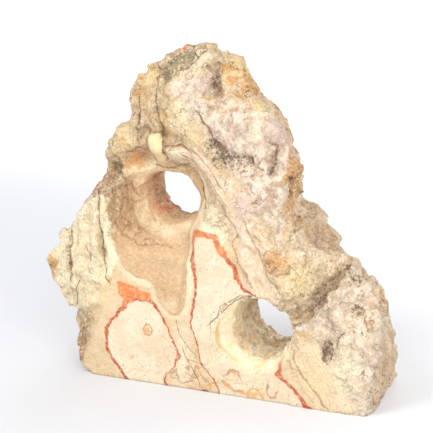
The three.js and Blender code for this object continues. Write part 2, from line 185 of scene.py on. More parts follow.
def ease(start: float, end: float, value: Array) -> Array:
    """Gives an eased step from 0 at start to 1 at end."""
    t = np.clip((value - start) / (end - start), 0, 1)
    return t * t * (3 - 2 * t)


def to_segment(x: Array, z: Array, a: Point, b: Point) -> tuple[Array, Array, Array]:
    """Measures points of the front plane against one piece of line.

    Args:
        x: Places along X.
        z: Places along Z.
        a: Start of the piece of line.
        b: End of the piece of line.

    Returns:
        Squared distances, which side of the line each point is on, as a signed value, and how
        far along the piece of line its nearest place is, from 0 to 1.
    """
    ex, ez = b[0] - a[0], b[1] - a[1]
    t = np.clip(((x - a[0]) * ex + (z - a[1]) * ez) / (ex * ex + ez * ez), 0, 1)
    squared = (x - a[0] - ex * t) ** 2 + (z - a[1] - ez * t) ** 2
    return squared, ex * (z - a[1]) - ez * (x - a[0]), t


def outline_distance(outline: Line, x: Array, z: Array) -> Array:
    """Measures the distance to a closed outline.

    Args:
        outline: Corners of the outline, in order.
        x: Places along X.
        z: Places along Z.

    Returns:
        Distances, negative inside the outline.
    """
    nearest = np.full(x.shape, np.inf)
    inside = np.zeros(x.shape, dtype=bool)
    for a, b in zip(outline, [*outline[1:], outline[0]]):
        squared, _, _ = to_segment(x, z, a, b)
        nearest = np.minimum(nearest, squared)
        if a[1] != b[1]:
            crosses = (a[1] > z) != (b[1] > z)
            inside ^= crosses & (x < a[0] + (z - a[1]) * (b[0] - a[0]) / (b[1] - a[1]))
    distance = np.sqrt(nearest)
    return np.where(inside, -distance, distance)


def path_distance(path: Line, x: Array, z: Array) -> Array:
    """Measures the distance to an open line.

    Args:
        path: Points of the line, in order.
        x: Places along X.
        z: Places along Z.

    Returns:
        Distances, positive on the left of the line's direction and negative on its right.
    """
    nearest = np.full(x.shape, np.inf)
    sides = np.zeros(x.shape)
    for a, b in zip(path[:-1], path[1:]):
        squared, side, _ = to_segment(x, z, a, b)
        closer = squared < nearest
        nearest = np.where(closer, squared, nearest)
        sides = np.where(closer, side, sides)
    return np.sqrt(nearest) * np.where(sides < 0, -1.0, 1.0)


def inside(outline: Line, x: Array, z: Array, soft: float = 3.0) -> Array:
    """Gives the share that lies inside an outline, with an edge of the given softness."""
    return ease(soft, -soft, outline_distance(outline, x, z))


# Outlines on the front of the stone

PANEL = (
    (-74, -20), (-74, 6), (-62, 40), (-58, 62), (-55, 85), (-52, 104), (-40, 112), (-20, 112),
    (-4, 104), (6, 100), (20, 92), (28, 84), (30, 72), (44, 58), (56, 46), (55, 30), (60, 17),
    (70, 7), (82, -3), (84, -20),
)
MASS = (
    (-20, 190), (-19, 170), (-12, 158), (-2, 146), (6, 138), (17, 122), (31, 107), (38, 94),
    (46, 82), (54, 68), (60, 72), (57, 86), (54, 98), (52, 112), (52, 132), (51, 150), (45, 164),
    (38, 170), (20, 172), (8, 176), (-2, 184),
)
FLANK = (
    (-104, 62), (-88, 86), (-72, 100), (-62, 110), (-55, 108), (-54, 92), (-53, 80), (-57, 60),
    (-63, 44), (-76, 38), (-88, 38), (-100, 50),
)
TOE = ((-84, 32), (-68, 40), (-60, 32), (-60, -12), (-76, -12), (-84, 12))
BLOCK = ((-62, 130), (-62, 144), (-48, 151), (-40, 146), (-40, 135), (-46, 129))
RIB = ((-42, 176), (-38, 180), (-27, 188), (-26, 167), (-25, 146), (-31, 142), (-38, 150))
CROWN = ((-22, 192), (-8, 198), (6, 194), (4, 184), (-2, 180), (-12, 184), (-22, 184))
CROWN_BLOCK = ((12, 192), (22, 192), (26, 186), (31, 174), (32, 168), (23, 166), (13, 168))
LOBE = (
    (57, -20), (57, 34), (60, 46), (68, 54), (78, 64), (86, 74), (93, 86), (98, 84), (104, 70),
    (106, 50), (104, 20), (100, -20),
)
SHOULDER = (
    (52, 56), (54, 74), (56, 95), (63, 106), (72, 100), (84, 90), (92, 90), (84, 76), (74, 64),
    (62, 54),
)
BOWL = (
    (-50, 128), (-54, 107), (-54, 93), (-52, 81), (-48, 74), (-42, 71), (-37, 64), (-25, 60),
    (-22, 51), (-16, 43), (-10, 46), (-8, 60), (-9, 76), (-8, 91), (-4, 101), (2, 110), (0, 120),
    (-6, 127), (-20, 129), (-34, 134), (-46, 133),
)
TAN_BAND = (
    (-20, 135), (-5, 145), (6, 138), (16, 121), (31, 106), (38, 93), (46, 81), (52, 66), (38, 59),
    (28, 69), (25, 83), (19, 99), (9, 112), (1, 123), (-6, 131),
)
NUB = ((-35, 141), (-31, 146), (-24, 145), (-23, 137), (-27, 129), (-34, 130))
SHELL = ((57, 27), (61, 36), (71, 41), (80, 30), (88, 17), (94, 4), (80, -8), (66, 2))


@dataclass(frozen=True)
class Plate:
    """One flattish area of the front.

    Attributes:
        outline: Its edge.
        depth: Its depth at the place named by at.
        at: Where that depth holds.
        lean: How its depth changes along X and along Z.
        fall: How steeply it falls back past its edge.
        wander: How far its edge strays from the outline, as a share.
    """

    outline: Line
    depth: float
    at: Point
    lean: Point
    fall: float
    wander: float = 1.0


@dataclass(frozen=True)
class Stroke:
    """One cleft or thin line.

    Attributes:
        path: Points that it runs through, in order.
        width: Half its width.
        depth: How deep it is cut.
    """

    path: Line
    width: float
    depth: float = 0.0


@dataclass(frozen=True)
class Spot:
    """One soft oval swelling or patch of colour.

    Attributes:
        at: Its centre.
        half: Its half widths along X and along Z.
        strength: Its height in millimetres, or how strong its colour is.
    """

    at: Point
    half: Point
    strength: float = 1.0

    def at_points(self, x: Array, z: Array) -> Array:
        """Gives the height or strength at each point."""
        across, up = (x - self.at[0]) / self.half[0], (z - self.at[1]) / self.half[1]
        return self.strength * np.exp(-(across**2) - up**2)


@dataclass(frozen=True)
class Hole:
    """One hole through the stone.

    Attributes:
        core: Line round the middle of the hole.
        radius: Distance from that line to the wall.
        front_flare: How much wider the hole is at the front.
        flare_to: Depth at which it is no longer wider.
        back_flare: How much wider the hole is at the back.
        back_range: Depths between which it widens there.
    """

    core: Line
    radius: float
    front_flare: float
    flare_to: float
    back_flare: float
    back_range: Point

    def opening(self, y: Array) -> Array:
        """Gives how far the wall stands from the core line at each depth."""
        front = self.front_flare * ease(self.flare_to, -2, y)
        return self.radius + front + self.back_flare * ease(*self.back_range, y)


@dataclass(frozen=True)
class StoneForm:
    """The shape of the stone, as a value that is negative inside it and positive outside it.

    Attributes:
        front_outline: Its outline near the front.
        back_outline: Its outline near the back.
        front_plane: Depth at which the front outline holds.
        back_plane: Depth at which the back outline holds.
        furthest_morph: How far past the back plane the outlines go on changing, as a share.
        open_front_depth: Depth of the front outside every plate, at the base.
        front_lean: How much deeper that is for each millimetre of height.
        middle_back_depth: Depth of the back at the base.
        back_lean: How much less that is for each millimetre of height.
        front_edge_round: How rounded the edge between front and sides is.
        back_edge_round: How rounded the edge between back and sides is.
        plate_blend: How rounded the seams between plates are.
        plates: Flattish areas of the front.
        bowl_start_depth: Depth of the bowl at its lower end.
        bowl_wall: How steep the wall of the bowl is.
        bowl_steps: Start, end and height of each step of the bowl's floor.
        grooves: Clefts of the front, or ridges where the depth is negative.
        swellings: Swellings of the front.
        back_swellings: Swellings of the back.
        back_ledge_rise: Height of the slanting ledge on the back.
        back_shelf_rise: How far the lower left of the back is set in.
        holes: The two holes, the lower one first.
        hole_edge_round: How rounded the rims of the holes are.
        hole_wander: How uneven the walls of the holes are.
        hole_grain: Size of that unevenness.
        smoothed_areas: Areas of the front, each with the share of the relief that it keeps.
        smoothed_range: Depths between which the whole relief comes back.
        relief_reach: Distance from the surface within which the relief is worked out.
        broad_relief: Height of the broad lumps.
        crease_relief: Height of the sharp creases.
        small_relief: Height of the small lumps.
        layer_relief: Height of the upright layers of the left flank.
    """

    front_outline: Line = (
        (-66, -12), (-69, 0), (-80, 10), (-87, 30), (-100, 36), (-105, 46), (-106, 58), (-104, 68),
        (-100, 77), (-89, 87), (-78, 98), (-70, 107), (-72, 118), (-63, 129), (-61, 141), (-48, 149),
        (-50, 162), (-43, 178), (-32, 185), (-26, 191), (-15, 193), (-8, 198), (0, 196), (10, 193),
        (22, 193), (26, 188), (26, 178), (29, 171), (34, 168), (40, 162), (47, 157), (52, 148),
        (53, 112), (55, 103), (61, 96), (73, 86), (88, 89), (97, 80), (104, 70), (108, 59),
        (104, 40), (103, 16), (104, 0), (103, -12),
    )
    back_outline: Line = (
        (-64, -12), (-68, 0), (-78, 14), (-78, 30), (-88, 42), (-94, 60), (-88, 76), (-74, 92),
        (-66, 108), (-60, 126), (-54, 142), (-47, 160), (-39, 174), (-27, 184), (-13, 189), (-1, 188),
        (10, 186), (13, 179), (19, 169), (26, 162), (35, 153), (40, 146), (47, 132), (48, 120),
        (47, 107), (55, 101), (64, 92), (69, 83), (76, 77), (85, 68), (91, 60), (101, 52), (102, 30),
        (101, -12),
    )
    front_plane: float = 8
    back_plane: float = 42
    furthest_morph: float = 1.25
    open_front_depth: float = 14
    front_lean: float = 0.08
    middle_back_depth: float = 58
    back_lean: float = 0.07
    front_edge_round: float = 4.5
    back_edge_round: float = 14
    plate_blend: float = 3
    plates: Sequence[Plate] = (
        Plate(PANEL, 0, (0, 0), (0, 0.022), 1.0, 0.35),
        Plate(MASS, -6.5, (40, 80), (0.06, 0.15), 0.52),
        Plate(FLANK, 0, (-56, 70), (-0.3, 0.02), 2.2),
        Plate(TOE, 1.5, (-62, 10), (-0.5, 0.02), 1.8),
        Plate(BLOCK, 8, (-42, 140), (-0.3, 0.06), 1.5),
        Plate(RIB, 8, (-28, 150), (-0.2, 0.12), 1.2),
        Plate(CROWN, 13, (-8, 185), (0.02, 0.6), 0.9),
        Plate(CROWN_BLOCK, 8, (20, 170), (0.12, 0.22), 1.4),
        Plate(LOBE, -0.5, (70, 10), (-0.01, 0.03), 0.9),
        Plate(SHOULDER, 5, (58, 62), (0.3, 0.26), 1.3),
        Plate(NUB, 7, (-29, 137), (-0.15, 0.1), 1.8, 0.3),
    )
    bowl_start_depth: float = 4
    bowl_wall: float = 1.5
    bowl_steps: Sequence[tuple[float, float, float]] = ((55, 76, 4), (74, 87, 8), (88, 110, 4))
    grooves: Sequence[Stroke] = (
        Stroke(((-2, 157), (10, 143), (16, 136), (31, 136)), 3.4, 3.5),
        Stroke(((-24, 190), (-24, 160), (-21, 146), (-12, 142)), 3.4, 4),
        Stroke(((-38, 176), (-39, 160), (-36, 146)), 3.2, 4),
        Stroke(((-62, 112), (-61, 97), (-60, 83), (-58, 66)), 2.6, 3),
        Stroke(((-79, 90), (-81, 74), (-83, 59)), 2.8, 3.2),
        Stroke(((-70, 98), (-71, 80), (-73, 46)), 2.8, 2.2),
        Stroke(((4, 184), (8, 176), (8, 168)), 4, 6.5),
        Stroke(((47, 146), (46, 139), (43, 131)), 2.8, 3),
        Stroke(((57, 52), (67, 60), (75, 69), (82, 79)), 3.4, 5),
        Stroke(((54, 45), (65, 50), (75, 60), (84, 75), (88, 82)), 1.8, -2.4),
        Stroke(((-57, 122), (-53, 110), (-51, 98), (-46, 88), (-38, 81), (-30, 80)), 3, 5),
        Stroke(((-50, 112), (-44, 103), (-39, 109)), 2.4, 2.2),
        Stroke(((-39, 108), (-38, 99), (-32, 92)), 2.6, 2.6),
        Stroke(((8, 170), (20, 167), (32, 167)), 2.8, 3),
        Stroke(((81, 34), (80, 44), (76, 54)), 3.2, 3),
        Stroke(((-46, 127), (-42, 131)), 4.5, 5),
        Stroke(((27, 69), (19, 80), (24, 92), (16, 104), (4, 116)), 2.8, 1.6),
    )
    swellings: Sequence[Spot] = (
        Spot((19, 33), (8, 12), -3),
        Spot((-43, 95), (4, 8), 3),
        Spot((-44, 110), (5, 6), 3),
        Spot((-47, 122), (6, 5), 4),
        Spot((-26, 76), (16, 6), 2.5),
        Spot((47, 80), (8, 7), 3.5),
        Spot((94, 84), (7, 5), 3),
        Spot((-100, 66), (6, 7), 3),
        Spot((92, 40), (16, 24), 4),
        Spot((76, 24), (16, 16), 2),
        Spot((30, 152), (16, 12), 3),
        Spot((-10, 168), (10, 10), 2.5),
        Spot((36, 120), (10, 14), 2),
        Spot((70, 86), (12, 10), 2),
        Spot((-76, 76), (7, 22), 2.5),
        Spot((-66, 88), (4, 20), 2),
    )
    back_swellings: Sequence[Spot] = (
        Spot((-48, 30), (34, 30), 11),
        Spot((66, 26), (38, 34), 15),
        Spot((6, 4), (44, 20), 7),
        Spot((12, 146), (30, 30), 8),
        Spot((-42, 106), (18, 26), 5),
        Spot((28, 96), (20, 24), -8),
        Spot((-20, 62), (22, 16), -6),
        Spot((-14, 158), (12, 22), -4),
    )
    back_ledge_rise: float = 5
    back_shelf_rise: float = 4
    holes: Sequence[Hole] = (
        Hole(
            ((27, 40), (30, 46), (38, 47), (44, 44), (45, 38), (40, 31), (33, 29), (28, 33)),
            9.5, 3.2, 14, 5, (46, 70),
        ),
        Hole(
            ((-31, 112), (-26, 113), (-19, 113), (-16, 108), (-16, 103), (-22, 101), (-30, 105)),
            8.5, 3, 26, 4, (40, 58),
        ),
    )
    hole_edge_round: float = 2
    hole_wander: float = 1.1
    hole_grain: float = 11
    smoothed_areas: Sequence[tuple[Line, float]] = (
        (PANEL, 0.07), (BOWL, 0.2), (TAN_BAND, 0.4), (SHELL, 0.3), (MASS, 0.75), (LOBE, 0.75),
    )
    smoothed_range: Point = (16, 30)
    relief_reach: float = 10
    broad_relief: float = 2.6
    crease_relief: float = 1.9
    small_relief: float = 0.8
    layer_relief: float = 1.1

    @staticmethod
    def wander(x: Array, z: Array, seed: int, coarse: float, fine: float) -> Array:
        """Gives the sideways stray that keeps edges from running straight.

        Args:
            x: Places along X.
            z: Places along Z.
            seed: Which stray it is.
            coarse: Length of its long waves.
            fine: Length of its short waves.

        Returns:
            The stray at each place.
        """
        depth = np.full(x.shape, float(seed))
        broad = noise(x / coarse, depth, z / coarse, seed)
        return BROAD_WANDER * broad + FINE_WANDER * noise(x / fine, depth, z / fine, seed + 1)

    def bowl_floor(self, x: Array, z: Array, shift: Array) -> Array:
        """Gives the depth of the floor of the bowl, which gets deeper in steps.

        Args:
            x: Places along X.
            z: Places along Z.
            shift: How far the steps stray upwards.

        Returns:
            The depth at each place.
        """
        height = z + 0.12 * (x + 30) + shift
        steps = sum(deeper * ease(low, high, height) for low, high, deeper in self.bowl_steps)
        return self.bowl_start_depth + steps

    def front_depth(self, x: Array, z: Array) -> Array:
        """Gives the depth of the front surface.

        Args:
            x: Places along X.
            z: Places along Z.

        Returns:
            The depth at each place.
        """
        shift_x = self.wander(x, z, 11, 13, 6)
        shift_z = self.wander(x, z, 13, 13, 6)
        depth = self.open_front_depth + self.front_lean * z
        for plate in self.plates:
            off = outline_distance(plate.outline, x + plate.wander * shift_x, z + plate.wander * shift_z)
            past = np.maximum(off, 0)
            flat = plate.depth + (x - plate.at[0]) * plate.lean[0] + (z - plate.at[1]) * plate.lean[1]
            depth = smooth_min(depth, flat + plate.fall * past, self.plate_blend)
        edge = outline_distance(BOWL, x + 0.4 * shift_x, z + 0.4 * shift_z)
        bowl = self.bowl_floor(x, z, shift_z) - self.bowl_wall * np.maximum(edge + self.plate_blend, 0)
        depth = smooth_max(depth, bowl, self.plate_blend)
        for groove in self.grooves:
            off = path_distance(groove.path, x + 0.8 * shift_x, z + 0.8 * shift_z)
            depth = depth + groove.depth * np.exp(-((off / groove.width) ** 2))
        for swelling in self.swellings:
            depth = depth - swelling.at_points(x + shift_x, z + shift_z)
        return depth

    def back_depth(self, x: Array, z: Array) -> Array:
        """Gives the depth of the back surface.

        Args:
            x: Places along X.
            z: Places along Z.

        Returns:
            The depth at each place.
        """
        bx = x + 3 * noise(x / 18, np.full(x.shape, 2.0), z / 18, 15)
        bz = z + 3 * noise(x / 18, np.full(x.shape, 5.0), z / 18, 16)
        depth = self.middle_back_depth - self.back_lean * z
        for swelling in self.back_swellings:
            depth = depth + swelling.at_points(bx, bz)
        ledge = ease(-4, 4, bx - 0.55 * (bz - 100) - 22) * ease(60, 90, bz)
        shelf = ease(-3, 3, bz - 50 - 0.2 * bx) * ease(-30, -60, bx)
        return depth + self.back_ledge_rise * ledge - self.back_shelf_rise * shelf

    def kept_relief(self, x: Array, z: Array) -> Array:
        """Gives the share of the rough relief that the areas of the front keep.

        Args:
            x: Places along X.
            z: Places along Z.

        Returns:
            The share at each place.
        """
        kept = np.ones(x.shape)
        for outline, keeps in self.smoothed_areas:
            outside = ease(-3, 3, outline_distance(outline, x, z))
            kept = np.minimum(kept, keeps + (1 - keeps) * outside)
        return kept

    def relief(self, x: Array, y: Array, z: Array, kept: Array) -> Array:
        """Gives the lumps and sharp creases, and the upright layers of the left flank.

        Args:
            x: Places along X.
            y: Places along Y.
            z: Places along Z.
            kept: Share of the relief that the front keeps at each place.

        Returns:
            How far the surface stands out at each place.
        """
        a = 0.8 * y + 0.6 * z
        b = -0.8 * x + 0.36 * y - 0.48 * z
        c = -0.6 * x - 0.48 * y + 0.64 * z
        broad = noise(a / 24, b / 24, c / 24, 51)
        crease = 0.35 - 1.7 * np.abs(noise(a / 12.5, b / 12.5, c / 12.5, 52))
        small = noise(a / 6, b / 6, c / 6, 53)
        flank = ease(-50, -58, x) * ease(126, 100, z) * ease(46, 20, y)
        layers = noise((x + 0.12 * z) / 5.2, y / 9, z / 42, 54)
        low, high = self.smoothed_range
        roughness = 1 - (1 - kept) * ease(high, low, y)
        return roughness * (
            self.broad_relief * broad
            + self.crease_relief * crease
            + self.small_relief * small
            + self.layer_relief * flank * layers
        )

    def on_grid(self, xs: Array, ys: Array, zs: Array) -> Array:
        """Works out the value of the form at every corner of a grid.

        Args:
            xs: Grid places along X.
            ys: Grid places along Y.
            zs: Grid places along Z.

        Returns:
            One value for each corner, negative inside the stone.
        """
        flat_x, flat_z = np.meshgrid(xs, zs, indexing="ij")
        shift_x = self.wander(flat_x, flat_z, 21, 12, 5.5)
        shift_z = self.wander(flat_x, flat_z, 23, 12, 5.5)
        front = outline_distance(self.front_outline, flat_x + shift_x, flat_z + shift_z)[:, None, :]
        back = outline_distance(self.back_outline, flat_x + shift_x, flat_z + shift_z)[:, None, :]
        y = ys[None, :, None]
        morph = (y - self.front_plane) / (self.back_plane - self.front_plane)
        morph = np.clip(morph, 0, self.furthest_morph)
        side = front * (1 - morph) + back * morph
        value = smooth_max(side, self.front_depth(flat_x, flat_z)[:, None, :] - y, self.front_edge_round)
        value = smooth_max(value, y - self.back_depth(flat_x, flat_z)[:, None, :], self.back_edge_round)
        near = np.nonzero(np.abs(value) < self.relief_reach)
        kept = self.kept_relief(flat_x, flat_z)[near[0], near[2]]
        value[near] -= self.relief(xs[near[0]], ys[near[1]], zs[near[2]], kept)
        for hole in self.holes:
            wall = outline_distance(hole.core, flat_x, flat_z)[:, None, :] - hole.opening(y)
            near = np.nonzero(np.abs(wall) < self.relief_reach)
            places = [axis[index] / self.hole_grain for axis, index in zip((xs, ys, zs), near)]
            wall[near] += self.hole_wander * noise(*places, 41)
            value = smooth_max(value, -wall, self.hole_edge_round)
        return value


@dataclass(frozen=True)
class SurfaceNet:
    """Draws the surface of a form on a grid, with its base cut flat at Z = 0.

    Attributes:
        cell: Spacing of the grid.
        low: Where the grid starts along X and Y.
        high: Where it ends along X, Y and Z.
    """

    cell: float = 1.25
    low: tuple[float, float] = (-118, -22)
    high: tuple[float, float, float] = (118, 86, 208)

    def axes(self) -> list[Array]:
        """Gives the grid places along each axis, with the base halfway up the first layer."""
        starts = (*self.low, -0.5 * self.cell)
        return [np.arange(start, end, self.cell) for start, end in zip(starts, self.high)]

    def draw(self, form: StoneForm) -> tuple[Array, Array]:
        """Draws the surface.

        Args:
            form: The form to draw.

        Returns:
            Places of the points, and the four point numbers of each face.
        """
        axes = self.axes()
        values = form.on_grid(*axes)
        values[:, :, 0] = self.cell
        shape = tuple(count - 1 for count in values.shape)
        places = np.zeros((*shape, 3))
        crossings = np.zeros(shape)
        for axis in range(3):
            self.add_crossings(values, axis, places, crossings)
        used = np.nonzero(crossings > 0)
        numbers = np.full(shape, -1)
        numbers[used] = np.arange(len(used[0]))
        starts = np.array([axis[0] for axis in axes])
        points = starts + self.cell * (np.stack(used, axis=1) + places[used] / crossings[used][:, None])
        points[used[2] == 0, 2] = 0
        faces = [self.join(values, numbers, axis) for axis in range(3)]
        return points, np.concatenate(faces)

    @staticmethod
    def add_crossings(values: Array, axis: int, places: Array, crossings: Array) -> None:
        """Adds the places where the surface crosses the grid edges along one axis.

        Args:
            values: Values at the grid corners.
            axis: Axis that the edges run along.
            places: Sum of the places found in each cell, which is added to.
            crossings: Number of places found in each cell, which is added to.
        """
        values = np.moveaxis(values, axis, 0)
        sums = np.moveaxis(places, axis, 0)
        counts = np.moveaxis(crossings, axis, 0)
        first, second = values[:-1], values[1:]
        crossed = (first < 0) != (second < 0)
        along = np.where(crossed, first / np.where(crossed, first - second, 1), 0)
        others = [other for other in range(3) if other != axis]
        for p, q in itertools.product((0, 1), repeat=2):
            part = (slice(None), slice(p, values.shape[1] - 1 + p), slice(q, values.shape[2] - 1 + q))
            here = crossed[part]
            counts += here
            sums[..., axis] += along[part]
            sums[..., others[0]] += here * p
            sums[..., others[1]] += here * q

    @staticmethod
    def join(values: Array, numbers: Array, axis: int) -> Array:
        """Joins the points of the four cells round each crossed grid edge of one axis.

        Args:
            values: Values at the grid corners.
            numbers: Number of the point in each cell, or -1.
            axis: Axis that the edges run along.

        Returns:
            Four point numbers for each face, in order round it and facing outwards.
        """
        order = (axis, (axis + 1) % 3, (axis + 2) % 3)
        turned = values.transpose(order)
        cells = numbers.transpose(order)
        first, second = turned[:-1, 1:-1, 1:-1], turned[1:, 1:-1, 1:-1]
        i, j, k = np.nonzero((first < 0) != (second < 0))
        corners = ((0, 0), (1, 0), (1, 1), (0, 1))
        round_edge = np.stack([cells[i, j + across, k + up] for across, up in corners], axis=1)
        leaving = first[i, j, k] < 0
        return np.where(leaving[:, None], round_edge, round_edge[:, ::-1])


# Small relief and markings, point by point

WidePoint = tuple[float, float, float]

LEFT_CELL: Sequence[WidePoint] = (
    (-43, -8, 1.0), (-44, 0, 1.0), (-50, 8, 1.1), (-54, 12, 1.0), (-57, 18, 1.1), (-57, 24, 1.4),
    (-57, 30, 1.3), (-54, 35, 1.1), (-50, 40, 1.3), (-46, 44, 1.9), (-43, 49, 2.3), (-38, 50, 1.5),
    (-33, 51, 1.7), (-29, 50, 1.4), (-26, 47, 1.0), (-22, 42, 0.8), (-19, 37, 0.8), (-17, 32, 0.8),
    (-15, 28, 0.5), (-12, 23, 0.7), (-11, 19, 1.1), (-12, 16, 1.0), (-14, 12, 0.6), (-19, 8, 0.35),
    (-20, 4, 1.1), (-19, 0, 0.9), (-19, -8, 0.9),
)
MIDDLE_CELL: Sequence[WidePoint] = (
    (14, -8, 0.5), (14, 0, 0.5), (11, 8, 0.5), (4, 15, 0.5), (1, 22, 0.5), (0, 30, 0.5),
    (-4, 38, 0.6), (-3, 46, 0.9), (-1, 56, 1.0), (-1, 66, 1.1), (-3, 78, 1.4), (-3.5, 86, 1.9),
    (-3.5, 91, 2.3), (3, 92.5, 2.1), (11, 92, 2.2), (11.5, 87, 1.8), (14, 84.5, 3.0), (17, 80, 1.6),
    (22, 75, 1.5), (23.5, 69, 1.5), (28, 63.5, 1.3), (33, 62, 0.7), (38, 59, 0.5), (44, 58, 0.5),
    (48, 50, 0.2), (54, 42, 0.2), (53, 36, 0.6), (52, 31, 1.4), (50, 26, 1.5), (50.5, 20, 1.2),
    (49, 16.5, 2.0), (52.5, 14.5, 1.4), (58, 11, 1.2), (63, 6, 1.5), (66.5, 1, 1.6), (71, -2, 1.4),
    (74, -8, 1.4),
)


CRACKS = (
    Stroke(((-1, 160), (2, 155), (8, 147), (11, 142), (17, 136)), 0.7, 1.8),
    Stroke(((26, 137), (30, 139), (31, 136), (35, 134), (39, 132)), 0.45, 1.2),
    Stroke(((43, 146), (46, 145), (45, 137), (43, 131)), 0.6, 1.4),
    Stroke(((-13, 40), (-11, 33), (-8, 28), (-1, 21)), 0.25, 0.3),
    Stroke(((-9, 24), (-7, 18), (4, 16)), 0.25, 0.3),
    Stroke(((-7, 18), (-2, 12), (2, 4)), 0.25, 0.3),
    Stroke(((7, 40), (16, 49), (22, 55), (33, 60)), 0.4, 0.6),
    Stroke(((12, 46), (14, 52), (25, 59), (35, 61)), 0.3, 0.5),
    Stroke(((82, 38), (83, 43), (87, 47)), 0.5, 1.0),
    Stroke(((53, 44), (64, 49), (72, 58), (78, 64)), 0.4, 1.4),
    Stroke(((66, 55), (72, 63), (80, 71), (88, 86)), 0.5, 1.2),
    Stroke(((-28, 186), (-27, 172), (-27, 160), (-24, 151), (-24, 130)), 0.4, 0.8),
    Stroke(((-41, 171), (-41, 158), (-41, 147), (-39, 139)), 0.5, 1.0),
    Stroke(((-31, 146), (-27, 146.5), (-23.5, 145)), 0.6, 0.8),
    Stroke(((-27, 181), (-19, 183), (-15, 190), (-12, 190)), 0.4, 0.8),
    Stroke(((1, 193), (-4, 187), (-8, 183)), 0.5, 0.8),
    Stroke(((-8, 195), (-5, 195), (-5, 192), (-2, 190)), 0.4, 0.5),
    Stroke(((-5, 118), (-3, 108), (0, 102), (3, 100)), 0.4, 0.8),
    Stroke(((-33, 125), (-25, 124), (-17, 126), (-11, 128)), 0.45, 0.8),
    Stroke(((-22, 139), (-12, 141), (-4, 138)), 0.4, 0.6),
    Stroke(((-63, 112), (-62, 94), (-61, 77), (-59, 66), (-55, 57)), 0.4, 0.8),
    Stroke(((-86, 84), (-84, 76), (-85, 66), (-84, 54)), 0.9, 1.6),
    Stroke(((-77, 57), (-80, 48), (-81, 39)), 0.4, 0.8),
    Stroke(((-72, 76), (-69, 69)), 0.4, 0.7),
    Stroke(((55, 127), (55, 121)), 1.2, 2.0),
    Stroke(((54, 119), (54, 112), (56, 106), (58, 100)), 0.6, 1.6),
)

YELLOW_LINES = (
    Stroke(((13, 42), (12, 38), (13, 34), (13, 28), (17.5, 24.5), (23, 21), (27, 21.5), (33, 24),
            (40, 27), (46, 29.5), (51, 31)), 0.5),
    Stroke(((12, 36), (12.5, 30)), 1.2),
    Stroke(((31.5, 0), (31.5, 4.5), (34, 6.5), (38, 6), (40.5, 1)), 0.6),
    Stroke(((61, 43), (65, 41.5), (68, 43)), 0.7),
    Stroke(((12, 185), (15, 186), (18, 185)), 0.8),
    Stroke(((2, 168), (7, 168), (9, 170)), 0.5),
)

BROWN_LINES = (
    Stroke(((3, 121), (9, 117), (15, 111), (17, 104), (22, 99), (24, 95), (21, 88), (25, 78),
            (33, 66)), 0.5),
    Stroke(((-22, 139), (-13, 140), (-3, 140), (6, 132), (16, 120)), 0.5),
    Stroke(((-12, 136), (0, 131), (10, 120), (18, 110)), 0.4),
    Stroke(((29, 104), (36, 92), (41, 82), (52, 66)), 0.4),
    Stroke(((57, 38), (60, 24), (70, 12), (78, 2)), 0.5),
    Stroke(((-51, 116), (-48, 114), (-48, 110), (-42, 112), (-39, 114)), 0.5),
    Stroke(((-52, 104), (-47, 103), (-41, 104), (-39, 110)), 0.5),
    Stroke(((-60, 122), (-53, 120), (-52, 104), (-50, 96)), 0.6),
    Stroke(((-56, 93), (-51, 84), (-46, 81), (-41, 79), (-33, 80), (-20, 80)), 0.4),
    Stroke(((-39, 112), (-38, 100), (-33, 93)), 0.4),
    Stroke(((43.5, 10), (42.4, 6), (44.6, 1.8), (48, 3), (48.7, 6)), 0.4),
    Stroke(((-34, 33), (-32, 35.5), (-29, 35), (-27.5, 32), (-29, 29.5), (-32, 29.5), (-34, 33)), 0.35),
    Stroke(((-7, 12.5), (-5.5, 14), (-3.8, 12.5), (-5.3, 11), (-7, 12.5)), 0.5),
    Stroke(((-16, 9), (-14, 10), (-12, 8.5), (-11, 5)), 0.5),
    Stroke(((-13, 11), (-16, 6), (-9, 3), (-2, 6), (-1, 14)), 0.3),
    Stroke(((17, 12), (20, 15), (25, 15), (27, 12)), 0.5),
    Stroke(((6, 8), (9, 5), (12, 7), (14, 3)), 0.4),
    Stroke(((-4, 9), (0, 7), (3, 10), (6, 6)), 0.4),
    Stroke(((16, 8), (19, 6), (22, 4), (27, 3)), 0.6),
    Stroke(((-34.5, 147), (-35, 137), (-33.5, 129)), 0.9),
    Stroke(((-23.5, 147), (-22.8, 137), (-24.5, 130), (-28, 127.5)), 0.6),
    Stroke(((-48, 133), (-42, 136), (-36, 134)), 0.6),
    Stroke(((42, 84), (44, 89), (50, 89), (57, 84), (58, 79), (51, 77), (45, 80), (42, 84)), 0.6),
    Stroke(((46, 82), (50, 82), (53, 84)), 0.5),
)


class Mark(Enum):
    """Names of the values that the mesh carries for its material."""

    CELL = "cell"
    VEIN = "vein"
    PATCH = "patch"
    HOLLOW = "hollow"
    MASS = "mass"
    BAND = "band"
    SHELL = "shell"
    LOBE = "lobe"
    FLANK = "flank"
    SHOULDER = "shoulder"
    OLIVE = "olive"
    NUB = "nub"
    YELLOW = "yellow"
    BROWN_LINE = "brown_line"
    OCHRE = "ochre"
    GOLD = "gold"
    RED = "red"
    BROWN = "brown"
    PINK = "pink"
    LIP = "lip"
    CREAM = "cream"
    SOOT = "soot"
    # Wall of the lower hole, where the material lays painted light.
    PAINTED_TUNNEL_LIGHT = "painted_tunnel_light"
    # Painted shade on the walls deep in the holes.
    HOLE_SHADE = "deep"
    CRACK = "crack"
    CRACK_SHARE = "crack_share"
    FRONT = "front"
    ROUGH = "rough"
    LOW = "low"


